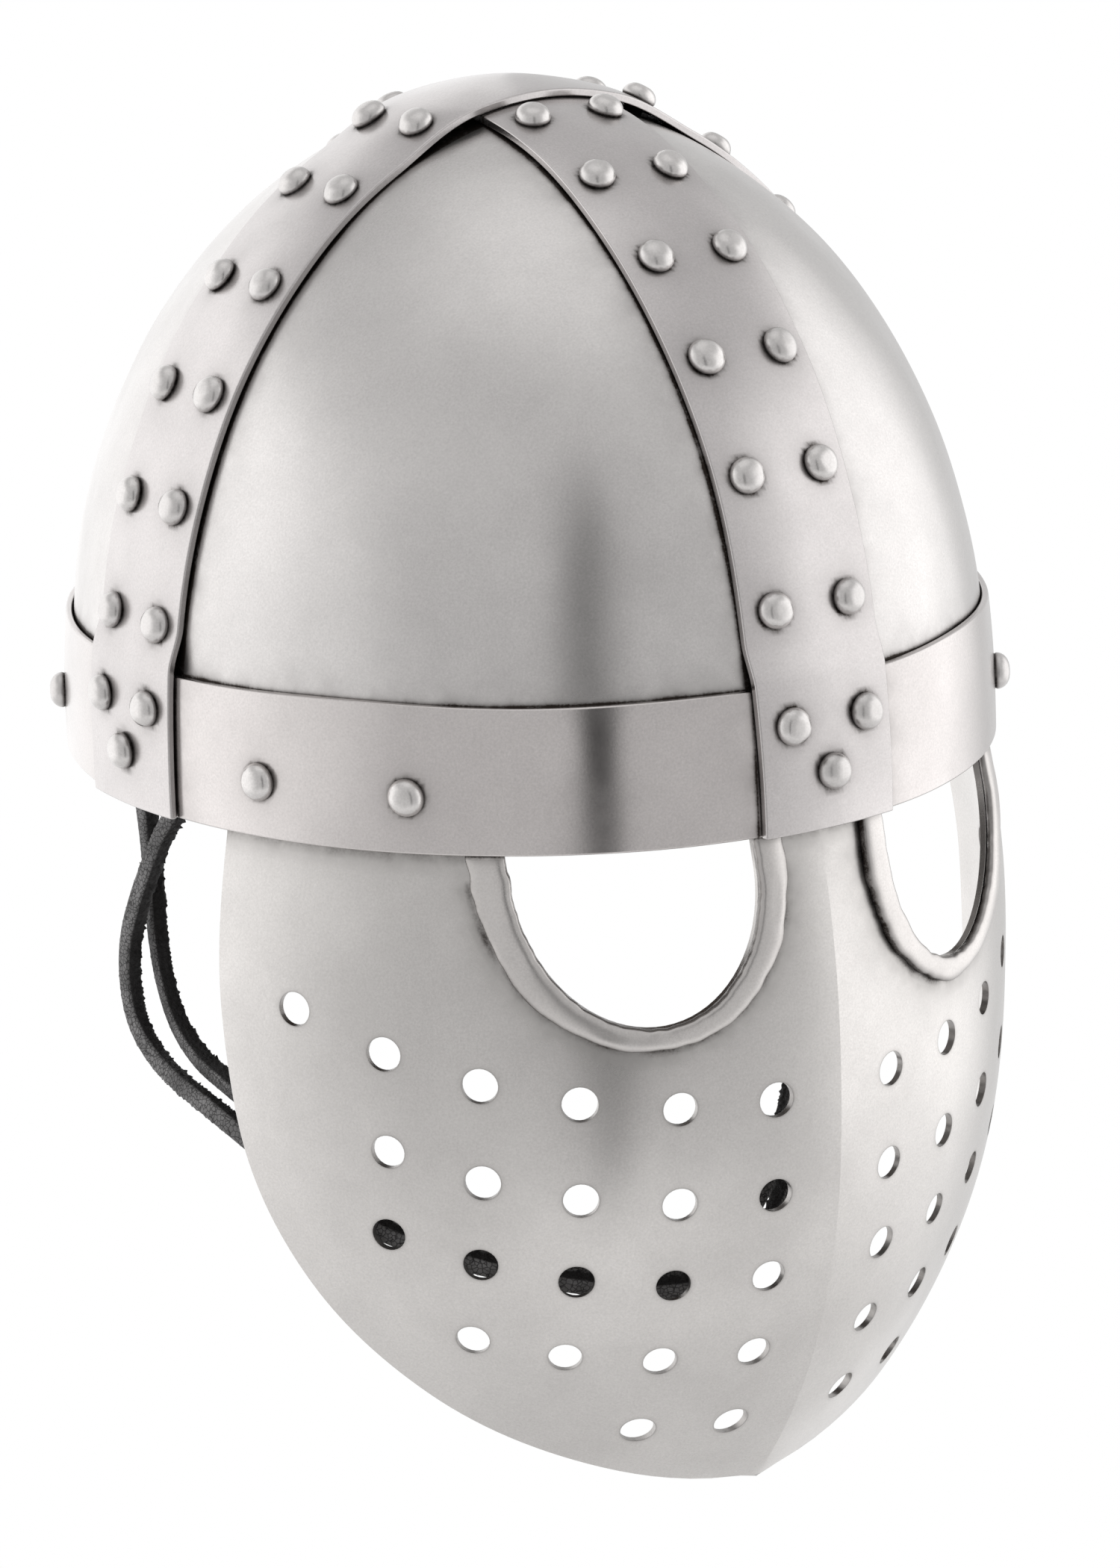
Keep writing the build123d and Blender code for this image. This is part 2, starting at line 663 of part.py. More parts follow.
def build():
    nodes = skull_plates()
    nodes["brow_band"] = brow_band()
    nodes["front_back_band"] = band(False, ("front", "back"), [FACE_PLACES[-1], REAR_PLACES[-1]])
    nodes["transverse_band"] = band(True, ("right", "left"), EAR_PLACES)
    nodes["face_plate"] = face_plate()
    nodes["eye_rim_left"] = eye_rim()
    nodes["eye_rim_right"] = mirror(nodes["eye_rim_left"], about=Plane.YZ)
    for leg, places in PAIR_PLACES.items():
        nodes[f"{leg}_band_rivets"] = group([rivet(p, tail_gap(p)) for p in places])
    through = LINER_GAP * 2 + WASHER
    nodes["face_plate_rivets"] = group([rivet(p, through) for p in FACE_PLACES])
    nodes["rear_brow_rivets"] = group([rivet(p, through) for p in REAR_PLACES])
    nodes["ear_rivets"] = group([ear_rivet(-1), ear_rivet(1)])
    nodes["plate_packing_washers"] = group(plate_packing())
    nodes["liner_washers"] = group(liner_washers())
    nodes["liner_band"] = liner_band()
    for index in range(PETALS):
        nodes[f"liner_petal_{index + 1}"] = petal(index)
    nodes["crown_lace"] = crown_lace()
    nodes["ear_spacers"] = group([ear_spacer(-1), ear_spacer(1)])
    nodes["ear_washers"] = group([ear_washer(-1), ear_washer(1)])
    nodes["strap_tab_right"] = strap_tab(-1)
    nodes["strap_tab_left"] = strap_tab(1)
    nodes["chin_thong_front"] = thong("chin_thong_front", THONG_FRONT)
    nodes["chin_thong_rear"] = thong("chin_thong_rear", THONG_REAR)
    return nodes


os.makedirs("parts", exist_ok=True)
for node, piece in build().items():
    export_step(piece, f"parts/{node}.step")
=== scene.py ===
"""Looks of a riveted knight helmet with a perforated face plate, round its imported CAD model."""
import math
import bpy
import numpy as np
from mathutils import Matrix, Vector, geometry

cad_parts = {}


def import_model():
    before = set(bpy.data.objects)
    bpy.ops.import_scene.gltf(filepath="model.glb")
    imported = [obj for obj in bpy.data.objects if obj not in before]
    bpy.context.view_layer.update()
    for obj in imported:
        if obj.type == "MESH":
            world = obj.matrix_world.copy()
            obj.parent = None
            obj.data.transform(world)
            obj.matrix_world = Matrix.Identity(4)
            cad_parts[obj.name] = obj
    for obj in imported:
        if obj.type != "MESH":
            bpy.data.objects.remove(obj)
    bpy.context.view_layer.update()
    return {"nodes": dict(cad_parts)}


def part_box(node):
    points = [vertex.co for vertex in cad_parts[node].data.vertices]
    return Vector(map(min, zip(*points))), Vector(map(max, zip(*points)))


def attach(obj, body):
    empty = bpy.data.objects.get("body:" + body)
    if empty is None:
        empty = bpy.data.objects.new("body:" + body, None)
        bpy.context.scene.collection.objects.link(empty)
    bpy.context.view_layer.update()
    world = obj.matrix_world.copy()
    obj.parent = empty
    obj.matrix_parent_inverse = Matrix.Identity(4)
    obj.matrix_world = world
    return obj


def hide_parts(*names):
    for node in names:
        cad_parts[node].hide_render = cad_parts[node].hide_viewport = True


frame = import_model()
MM = 0.001
rng = np.random.default_rng(7)

# ------------------------------------------------------------ sizes, mm
skull_low, skull_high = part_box("skull_front_left")
brow_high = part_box("brow_band")[1]
HALF_LENGTH = -skull_low.y / MM
HALF_WIDTH = skull_high.x / MM
CROWN = skull_high.z / MM
BROW_HEIGHT = brow_high.z / MM
WIDTH_RATIO = HALF_WIDTH / HALF_LENGTH
SHOULDER = 2.38
POINT = 1.80
SKULL_SHEET = 1.6
SHEET = 2.0
GAP = 0.05
PLATE_SHEET = 1.8
PLATE_OUTSIDE = -SKULL_SHEET - 0.2
LINER_OUTSIDE = PLATE_OUTSIDE - PLATE_SHEET - 0.3
LEATHER = 2.0
BAND_HALF = 18.0
JOGGLE = 10.0
CROWN_JOGGLE = 22.0
SKULL_EDGE = 2.0
SEAM_HALF = 0.3  # half the slit where the brow band's ends meet

# Face plate, as in the CAD
PLATE_TOP = 20.0
CHIN_DEPTH = 167.5
BULGE_DEPTH = 55.0
KEEL_BULGE = 6.6
CHIN_SETBACK = 35.4
KEEL_SPREAD = (8.0, 11.0)
SIDE_EDGE = [(-29.0, 30.0), (-30.5, -10.0), (-33.5, -42.0), (-38.0, -77.0), (-48.5, -106.0),
             (-64.0, -134.0), (-80.5, -156.5), (-92.0, -176.0)]
EYE_CENTRE = 42.0
EYE_HALF_WIDTH = 24.7
EYE_STRAIGHT = 8.0
EYE_DEPTH = 40.5
RIM_WIDTH = 6.4
RIM_HEIGHT = 2.2
BREATH_HOLE = 8.0
BREATH_ROWS = [(-60.5, 6), (-83.5, 5), (-104.0, 5), (-124.5, 4), (-145.0, 2)]
BREATH_FIRST = 16.5
BREATH_PITCH = 23.0
BREATH_RISE = 0.9
RIM_TOP = -0.3  # the rims end this far under the brow band

# Rivets
HEAD_RADIUS = 4.3
HEAD_HEIGHT = 3.45
TAIL_RADIUS = 3.4
TAIL_HEIGHT = 1.0
SHANK_RADIUS = 2.4
PAIR_HALF_SPACING = 10.0
FIRST_PAIR_HEIGHT = 24.5
PAIR_GAPS = {
    "front": (25.5, 29.9, 27.8, 26.7, 26.6, 26.2),
    "back": (26.0, 26.0, 26.0, 26.0, 26.0, 26.0),
    "right": (19.1, 26.8, 26.3, 27.6, 28.0, 24.0),
    "left": (25.3, 25.3, 25.3, 25.3, 25.3, 25.3)}
BROW_RIVET_HEIGHT = 13.0
EAR_SEAT = 0.2  # the level ear rivets sit this far off the band
BAND_GRIP = 0.1  # what a tail clamps below the sheets, by kind of rivet
WASHER_GRIP = 1.8
EAR_GRIP = 10.6
FACE_BEARINGS = (-66.5, -47.3, 47.3, 66.5)
REAR_BEARINGS = (-150.0, -122.0, 122.0, 150.0)
OVER_SKULL = GAP + SHEET
OVER_BOTH = 2 * (GAP + SHEET)
LINER_INSIDE = LINER_OUTSIDE - LEATHER


# ------------------------------------------------------------ shapes, mm
def smooth(value):
    value = np.clip(value, 0.0, 1.0)
    return value * value * (3 - 2 * value)


def skin_radius(height, offset):
    share = np.clip(height, 0.0, CROWN + offset) / (CROWN + offset)
    return (HALF_LENGTH + offset) * (1 - share ** SHOULDER) ** (1 / POINT)


def skin_curve(angle, offset):
    """Radius and height on the dome's outline, angle 0 at the brow and pi/2 at the crown."""
    radius = (HALF_LENGTH + offset) * np.maximum(np.cos(angle), 0) ** (2 / POINT)
    return radius, (CROWN + offset) * np.sin(angle) ** (2 / SHOULDER)


def band_offset(radius, height, level, crossing):
    """Offset of a band's face from the skull, with its steps over the brow and the crown."""
    out = GAP + level + (1 - smooth((height - BROW_HEIGHT - 0.5) / JOGGLE)) * (SHEET + GAP)
    if crossing:
        corner = math.hypot(BAND_HALF / WIDTH_RATIO, BAND_HALF)
        out = out + (1 - smooth((radius - corner - 0.5) / CROWN_JOGGLE)) * (SHEET + GAP)
    return out


def outside_layer(points, offset):
    """Above 0 outside a dome layer."""
    radius = np.hypot(points[..., 0] / WIDTH_RATIO, points[..., 1])
    off = offset(radius, points[..., 2])
    rise = np.maximum(points[..., 2], 0) / (CROWN + off)
    return (radius / (HALF_LENGTH + off)) ** POINT + rise ** SHOULDER - 1


def drop_onto(points, inward, offset):
    """Moves points straight in along a direction until they lie on a dome layer."""
    low = np.zeros(points.shape[:-1])
    high = np.full(points.shape[:-1], 40.0)
    for _ in range(36):
        middle = (low + high) / 2
        out = outside_layer(points + inward * middle[..., None], offset) > 0
        low = np.where(out, middle, low)
        high = np.where(out, high, middle)
    return points + inward * ((low + high) / 2)[..., None]


def waves(points, length, seed, count=9):
    """Smooth uneven ripple about -1 to 1, of a wavelength in mm."""
    source = np.random.default_rng(seed)
    total = np.zeros(points.shape[:-1])
    for _ in range(count):
        way = source.normal(size=3)
        way *= 2 * math.pi / (length * source.uniform(0.7, 1.5) * np.linalg.norm(way))
        total += np.sin(points @ way + source.uniform(0, 6.28))
    return total / math.sqrt(count)


def keel_reach(height):
    height = np.asarray(height, float)
    brow = HALF_LENGTH + PLATE_OUTSIDE
    fall = -height - BULGE_DEPTH
    upper = brow + KEEL_BULGE * (1 - (fall / BULGE_DEPTH) ** 2)
    lower = brow + KEEL_BULGE - CHIN_SETBACK * (np.maximum(fall, 0) / (CHIN_DEPTH - BULGE_DEPTH)) ** 2.5
    below = np.where(fall < 0, upper, lower)
    return np.where(height >= 0, skin_radius(height, PLATE_OUTSIDE), below)


def plate_reach(angle, height, offset):
    """Distance from the axis to the face plate, angle in radians from the keel."""
    side, ahead = np.sin(np.abs(angle)), np.cos(angle)
    keel = keel_reach(height)
    oval = keel / np.hypot(side / WIDTH_RATIO, ahead)
    spread = KEEL_SPREAD[0] + (KEEL_SPREAD[1] - KEEL_SPREAD[0]) * np.clip(-height / CHIN_DEPTH, 0, 1)
    keeled = np.sqrt(keel ** 2 + spread ** 2 - (spread * ahead) ** 2) - spread * side
    share = smooth(-height / (0.8 * BULGE_DEPTH))
    slope = (keel_reach(height + 1) - keel_reach(height - 1)) / 2
    return (1 - share) * oval + share * keeled + offset * np.hypot(1, slope)


def plate_point(angle, height, offset):
    reach = plate_reach(angle, height, offset)
    return np.stack([reach * np.sin(angle), -reach * np.cos(angle), height + 0 * angle], -1)


def solve_angle(height, value, wanted):
    """Plan angle at which a rising measure of the face plate reaches a wanted value."""
    low, high = np.zeros_like(height), np.full_like(height, math.radians(88))
    for _ in range(40):
        middle = (low + high) / 2
        less = value(middle, height) < wanted
        low, high = np.where(less, middle, low), np.where(less, high, middle)
    return (low + high) / 2


def angle_at_x(x, height):
    return solve_angle(height, lambda a, h: plate_point(a, h, 0)[..., 0], x)


def angle_at_y(y, height):
    return solve_angle(height, lambda a, h: plate_point(a, h, 0)[..., 1], y)


def catmull(points, samples):
    """Smooth curve through a few points."""
    points = np.array(points, float)
    padded = np.vstack([2 * points[0] - points[1], points, 2 * points[-1] - points[-2]])
    curve = []
    for i in range(len(points) - 1):
        a, b, c, d = padded[i:i + 4]
        for t in np.arange(samples) / samples:
            curve.append(0.5 * (2 * b + (c - a) * t + (2 * a - 5 * b + 4 * c - d) * t * t
                                + (3 * b - a - 3 * c + d) * t ** 3))
    curve.append(points[-1])
    return np.array(curve)


def leg_point(leg, lateral, radius, height):
    if leg in ("front", "back"):
        sign = -1 if leg == "front" else 1
        return np.array([lateral, sign * math.sqrt(radius ** 2 - (lateral / WIDTH_RATIO) ** 2), height])
    sign = 1 if leg == "left" else -1
    return np.array([sign * WIDTH_RATIO * math.sqrt(radius ** 2 - lateral ** 2), lateral, height])


def brow_point(bearing, height, offset):
    side, ahead = math.sin(math.radians(bearing)), math.cos(math.radians(bearing))
    reach = skin_radius(height, offset) / math.hypot(side / WIDTH_RATIO, ahead)
    return np.array([reach * side, -reach * ahead, height])


def normal_at(point, lean):
    around = math.hypot(point[0] / WIDTH_RATIO, point[1])
    normal = np.array([point[0] / WIDTH_RATIO ** 2 / around, point[1] / around, lean])
    return normal / np.linalg.norm(normal)


def lean_at(height, offset):
    return skin_radius(height - 0.5, offset) - skin_radius(height + 0.5, offset)


def band_face(angle, crossing):
    radius, height = skin_curve(np.radians(angle), 0)
    return skin_curve(np.radians(angle), band_offset(radius, height, SHEET, crossing))


def pair_seats(leg):
    """Outer point and normal of each rivet of a leg, pair by pair up from the brow."""
    crossing = leg in ("right", "left")
    ratio = WIDTH_RATIO if crossing else 1
    seats = []
    angle = 0.0
    for gap in (0.0, *PAIR_GAPS[leg]):
        while True:
            angle += 0.05
            radius, height = band_face(angle, crossing)
            if not gap and height >= FIRST_PAIR_HEIGHT:
                break
            if gap and math.hypot(ratio * (radius - last[0]), height - last[1]) >= gap:
                break
        last = (radius, height)
        below, above = band_face(angle - 0.3, crossing), band_face(angle + 0.3, crossing)
        lean = (below[0] - above[0]) / (above[1] - below[1])
        for lateral in (-PAIR_HALF_SPACING, PAIR_HALF_SPACING):
            point = leg_point(leg, lateral, radius, height)
            seats.append((point, normal_at(point, lean)))
    return seats


def single_seat(leg, lift=0.0):
    point = leg_point(leg, 0, skin_radius(BROW_RIVET_HEIGHT, OVER_BOTH + lift), BROW_RIVET_HEIGHT)
    return point, normal_at(point, 0.0 if lift else lean_at(BROW_RIVET_HEIGHT, OVER_BOTH))


def brow_seats(bearings):
    lean = lean_at(BROW_RIVET_HEIGHT, OVER_SKULL)
    points = [brow_point(b, BROW_RIVET_HEIGHT, OVER_SKULL) for b in bearings]
    return [(point, normal_at(point, lean)) for point in points]


PAIR_SEATS = {leg: pair_seats(leg) for leg in PAIR_GAPS}
FACE_SEATS = brow_seats(FACE_BEARINGS) + [single_seat("front")]
REAR_SEATS = brow_seats(REAR_BEARINGS) + [single_seat("back")]
EAR_SEATS = [single_seat("right", EAR_SEAT), single_seat("left", EAR_SEAT)]
ALL_SEATS = sum(PAIR_SEATS.values(), []) + FACE_SEATS + REAR_SEATS + EAR_SEATS
HEAD_CENTRES = np.array([seat[0] for seat in ALL_SEATS])


def near_rivets(points):
    """1 at the foot of a rivet head, fading over a few millimetres."""
    shade = np.zeros(len(points))
    for centre in HEAD_CENTRES:
        gap = np.maximum(np.linalg.norm(points - centre, axis=1) - HEAD_RADIUS, 0)
        shade = np.maximum(shade, 0.8 * np.exp(-gap / 0.35) + 0.2 * np.exp(-gap / 2.5))
    return shade


# ------------------------------------------------------------ materials
# Dark colour of patina, also used as painted shade round the eye rims, the breathing holes and under the brow
# band
PATINA_AND_SHADE_COLOUR = (0.034, 0.027, 0.023, 1)


def node_tree(name):
    material = bpy.data.materials.new(name)
    material.use_nodes = True
    tree = material.node_tree
    tree.nodes.clear()
    shader = tree.nodes.new("ShaderNodeBsdfPrincipled")
    output = tree.nodes.new("ShaderNodeOutputMaterial")
    tree.links.new(shader.outputs[0], output.inputs["Surface"])
    return material, tree, shader


def add(tree, kind, inputs=None, **settings):
    node = tree.nodes.new(kind)
    for key, value in settings.items():
        setattr(node, key, value)
    for key, value in (inputs or {}).items():
        if isinstance(value, bpy.types.NodeSocket):
            tree.links.new(value, node.inputs[key])
        else:
            node.inputs[key].default_value = value
    return node


def noise(tree, vector, scale, detail=3.0, rough=0.5):
    return add(tree, "ShaderNodeTexNoise", {"Vector": vector, "Scale": scale, "Detail": detail,
                                            "Roughness": rough}).outputs["Fac"]


def ramp(tree, value, low, high, out_low=0.0, out_high=1.0):
    return add(tree, "ShaderNodeMapRange", {"Value": value, "From Min": low, "From Max": high,
                                            "To Min": out_low, "To Max": out_high}).outputs[0]


def mix(tree, share, first, second):
    node = tree.nodes.new("ShaderNodeMix")
    node.data_type = "RGBA"
    for index, value in ((0, share), (6, first), (7, second)):
        if isinstance(value, bpy.types.NodeSocket):
            tree.links.new(value, node.inputs[index])
        else:
            node.inputs[index].default_value = value
    return node.outputs[2]


def math_node(tree, operation, first, second):
    return add(tree, "ShaderNodeMath", {0: first, 1: second}, operation=operation).outputs[0]


def fade(tree, gap, length, strength):
    """Falls from a strength to nothing over a length, by the distance from a seam."""
    share = math_node(tree, "EXPONENT", math_node(tree, "DIVIDE", gap, -length), 0.0)
    return math_node(tree, "MULTIPLY", share, strength)


def seam_dirt(tree, place, seams):
    """Dark patina along the seams where a band's or the brow's edge lies on the sheet below."""
    axes = add(tree, "ShaderNodeSeparateXYZ", {0: place})
    across = math_node(tree, "ABSOLUTE", axes.outputs[0], 0.0)
    along = math_node(tree, "ABSOLUTE", axes.outputs[1], 0.0)
    nearest = math_node(tree, "MINIMUM", across, along)
    gap = math_node(tree, "SUBTRACT", nearest, BAND_HALF * MM)
    if seams == "skull":
        over_brow = math_node(tree, "SUBTRACT", axes.outputs[2], BROW_HEIGHT * MM)
        gap = math_node(tree, "MAXIMUM", math_node(tree, "MINIMUM", gap, over_brow), 0.0)
    elif seams == "brow":
        gap = math_node(tree, "ABSOLUTE", gap, 0.0)
    else:
        gap = math_node(tree, "ABSOLUTE", math_node(tree, "SUBTRACT", along, BAND_HALF * MM), 0.0)
        low = ramp(tree, axes.outputs[2], 0.12, 0.11, 0.0, 0.1)
        gap = math_node(tree, "ADD", gap, low)
    smudge = ramp(tree, noise(tree, place, 110.0, 3.0, 0.7), 0.3, 0.7, 0.35, 1.9)
    return math_node(tree, "ADD", fade(tree, gap, 0.00045, 0.95),
                     math_node(tree, "MULTIPLY", fade(tree, gap, 0.0032, 0.22), smudge))


def steel(name, clean, rough, seams=None):
    """Satin antiqued steel: fine grain, cloudy sheen, dark patina where it collects, and the same dark colour
    as painted shade round the eye rims, the breathing holes and under the brow band.
    """
    material, tree, shader = node_tree(name)
    place = add(tree, "ShaderNodeTexCoord").outputs["Object"]
    cloud = noise(tree, place, 28.0, 4.0, 0.6)
    blotch = noise(tree, place, 160.0, 4.0, 0.7)
    grain = noise(tree, place, 1900.0, 2.0, 0.7)
    # Mask of patina and of painted shade, mixed towards the dark colour
    patina_and_painted_shade = add(tree, "ShaderNodeAttribute", attribute_name="patina_and_painted_shade").outputs["Fac"]
    if seams:
        patina_and_painted_shade = math_node(tree, "ADD", patina_and_painted_shade, seam_dirt(tree, place, seams))
    broken = math_node(tree, "MULTIPLY", patina_and_painted_shade, ramp(tree, blotch, 0.3, 0.7, 0.65, 1.2))
    broken = math_node(tree, "MINIMUM", math_node(tree, "MULTIPLY", broken, ramp(
        tree, grain, 0.3, 0.7, 0.8, 1.2)), 1.0)
    dull = tuple(0.88 * c for c in clean)
    surface = mix(tree, ramp(tree, cloud, 0.35, 0.7), (*clean, 1), (*dull, 1))
    speckle = ramp(tree, grain, 0.25, 0.75, 0.9, 1.07)
    tint = add(tree, "ShaderNodeCombineXYZ", {0: speckle, 1: speckle, 2: speckle}).outputs[0]
    product = tree.nodes.new("ShaderNodeMix")
    product.data_type = "RGBA"
    product.blend_type = "MULTIPLY"
    product.inputs[0].default_value = 1.0
    tree.links.new(surface, product.inputs[6])
    tree.links.new(tint, product.inputs[7])
    colour = mix(tree, broken, product.outputs[2], PATINA_AND_SHADE_COLOUR)
    tree.links.new(colour, shader.inputs["Base Color"])
    base_rough = ramp(tree, cloud, 0.3, 0.7, rough - 0.03, rough + 0.05)
    tree.links.new(math_node(tree, "ADD", base_rough, math_node(tree, "MULTIPLY", broken, 0.25)),
                   shader.inputs["Roughness"])
    shader.inputs["Metallic"].default_value = 1.0
    fine = add(tree, "ShaderNodeBump", {"Height": grain, "Strength": 0.10, "Distance": 0.00003})
    tree.links.new(fine.outputs[0], shader.inputs["Normal"])
    return material


def leather(name, colour, worn, scale=1.0, rough=0.6):
    """Dyed leather with a pebbled grain, cracks and worn high spots."""
    material, tree, shader = node_tree(name)
    place = add(tree, "ShaderNodeTexCoord").outputs["Object"]
    cell = add(tree, "ShaderNodeTexVoronoi", {"Vector": place, "Scale": 900.0 * scale},
               feature="DISTANCE_TO_EDGE").outputs["Distance"]
    cloud = noise(tree, place, 90.0 * scale, 4.0, 0.65)
    fibre = noise(tree, place, 2200.0 * scale, 4.0, 0.7)
    grain_side = add(tree, "ShaderNodeAttribute", attribute_name="patina_and_painted_shade").outputs["Fac"]
    crack = ramp(tree, cell, 0.0, 0.12)
    wear = math_node(tree, "MULTIPLY", math_node(tree, "MULTIPLY", grain_side, crack),
                     ramp(tree, cloud, 0.3, 0.65, 0.35, 1.0))
    tree.links.new(mix(tree, wear, (*colour, 1), (*worn, 1)), shader.inputs["Base Color"])
    tree.links.new(ramp(tree, fibre, 0.3, 0.7, rough, rough + 0.25), shader.inputs["Roughness"])
    shader.inputs["Specular IOR Level"].default_value = 0.35
    pebble = add(tree, "ShaderNodeBump", {"Height": crack, "Strength": 0.5, "Distance": 0.0002})
    nap = add(tree, "ShaderNodeBump", {"Height": fibre, "Strength": 0.6, "Distance": 0.0003,
                                       "Normal": pebble.outputs[0]})
    tree.links.new(nap.outputs[0], shader.inputs["Normal"])
    return material


SKULL_STEEL = steel("skull_steel", (0.595, 0.575, 0.565), 0.23, "skull")
BROW_STEEL = steel("brow_steel", (0.57, 0.54, 0.53), 0.17, "brow")
BAND_STEEL = steel("band_steel", (0.54, 0.515, 0.51), 0.20)
CROSSED_STEEL = steel("crossed_steel", (0.54, 0.515, 0.51), 0.20, "crossing")
PLATE_STEEL = steel("plate_steel", (0.58, 0.56, 0.545), 0.24)
RIM_STEEL = steel("rim_steel", (0.60, 0.575, 0.56), 0.26)
RIVET_STEEL = steel("rivet_steel", (0.60, 0.58, 0.57), 0.27)
WASHER_STEEL = steel("washer_steel", (0.42, 0.41, 0.40), 0.4)
THONG_LEATHER = leather("thong_leather", (0.012, 0.011, 0.011), (0.21, 0.205, 0.205))
TAB_LEATHER = leather("tab_leather", (0.014, 0.013, 0.012), (0.07, 0.065, 0.06))
LINER_LEATHER = leather("liner_leather", (0.075, 0.042, 0.024), (0.16, 0.095, 0.055), 0.7, 0.5)
LACE_LEATHER = leather("lace_leather", (0.03, 0.02, 0.015), (0.09, 0.065, 0.05))


# ------------------------------------------------------------ mesh building
def piece(name, verts, faces, body, material, replaces=(), patina_and_painted_shade=None, bevel=0.0):
    """A finished object from points in mm: smooth shaded, riding on its body."""
    mesh = bpy.data.meshes.new(name)
    mesh.from_pydata((np.asarray(verts) * MM).tolist(), [], faces)
    mesh.validate()
    mesh.update()
    # Per-point mask: patina and painted shade on steel, wear on leather
    if patina_and_painted_shade is not None:
        attribute = mesh.attributes.new("patina_and_painted_shade", "FLOAT", "POINT")
        attribute.data.foreach_set("value", np.asarray(patina_and_painted_shade, np.float32))
    mesh.polygons.foreach_set("use_smooth", [True] * len(mesh.polygons))
    mesh.materials.append(material)
    obj = bpy.data.objects.new(name, mesh)
    bpy.context.scene.collection.objects.link(obj)
    if bevel:
        edge = obj.modifiers.new("edge", "BEVEL")
        edge.width = bevel * MM
        edge.segments = 2
        edge.limit_method = "ANGLE"
        edge.angle_limit = math.radians(50)
        edge.harden_normals = True
    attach(obj, body)
    if replaces:
        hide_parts(*replaces)
    return obj


def slab(outer, inner, wrap=False):
    """Closed sheet between two grids of points, rows by columns."""
    rows, cols = outer.shape[:2]
    count = rows * cols
    verts = np.vstack([outer.reshape(-1, 3), inner.reshape(-1, 3)])
    faces = []
    last = cols if wrap else cols - 1
    for r in range(rows - 1):
        for c in range(last):
            a, b = r * cols + c, r * cols + (c + 1) % cols
            d, e = a + cols, b + cols
            faces.append((a, b, e, d))
            faces.append((count + a, count + d, count + e, count + b))
    for c in range(last):
        a, b = c, (c + 1) % cols
        faces.append((b, a, count + a, count + b))
        d, e = (rows - 1) * cols + a, (rows - 1) * cols + b
        faces.append((d, e, count + e, count + d))
    if not wrap:
        for r in range(rows - 1):
            a, d = r * cols, (r + 1) * cols
            faces.append((a, d, count + d, count + a))
            b, e = a + cols - 1, d + cols - 1
            faces.append((e, b, count + b, count + e))
    return verts, faces


def beaten(points, normals, depth, seed):
    """Slow unevenness of a hand-beaten sheet."""
    ripple = 0.75 * waves(points, 62.0, seed) + 0.25 * waves(points, 21.0, seed + 50)
    return points - normals * (depth * (1.2 + ripple) / 2.2)[..., None]


def grid_normals(points):
    across = np.gradient(points, axis=1)
    along = np.gradient(points, axis=0)
    normals = np.cross(across, along)
    return normals / np.maximum(np.linalg.norm(normals, axis=-1, keepdims=True), 1e-9)


def dome_grid(bearings, angles, offset):
    theta, rise = np.meshgrid(bearings, angles)
    radius, height = skin_curve(rise, offset)
    return np.stack([WIDTH_RATIO * radius * np.sin(theta), -radius * np.cos(theta), height], -1)


def skull_plates():
    names = {"front_left": 0, "rear_left": 90, "rear_right": 180, "front_right": 270}
    start = math.asin((SKULL_EDGE / CROWN) ** (SHOULDER / 2))
    for index, (name, turn) in enumerate(names.items()):
        bearings = np.radians(np.linspace(turn + 0.15, turn + 89.85, 64))
        angles = np.linspace(start, math.radians(89.6), 90)
        outer = dome_grid(bearings, angles, 0)
        inner = dome_grid(bearings, angles, -SKULL_SHEET)
        normals = (outer - inner) / SKULL_SHEET
        outer = beaten(outer, normals, 0.5, 10 + index)
        verts, faces = slab(outer, inner)
        piece(f"skull_{name}_steel", verts, faces, "helmet", SKULL_STEEL, [f"skull_{name}"],
              None, 0.3)


def brow_band():
    half_slit = SEAM_HALF / HALF_LENGTH
    bearings = np.linspace(-math.pi + half_slit, math.pi - half_slit, 601)
    heights = np.linspace(0, BROW_HEIGHT, 31)
    theta, height = np.meshgrid(bearings, heights)
    grids = []
    for offset in (OVER_SKULL, GAP):
        radius = skin_radius(height, offset)
        reach = radius / np.hypot(np.sin(theta) / WIDTH_RATIO, np.cos(theta))
        grids.append(np.stack([reach * np.sin(theta), -reach * np.cos(theta), height], -1))
    outer, inner = grids
    normals = (outer - inner) / SHEET
    sway = 0.35 * waves(np.stack([theta * 100, 0 * theta, 0 * theta], -1), 90.0, 31)
    outer[..., 2] += sway * smooth((height - 20) / 13)
    inner[..., 2] += sway * smooth((height - 20) / 13)
    outer = beaten(outer, normals, 0.35, 41)
    verts, faces = slab(outer, inner)
    piece("brow_band_steel", verts, faces, "helmet", BROW_STEEL, ["brow_band"],
          near_rivets(verts), 0.5)


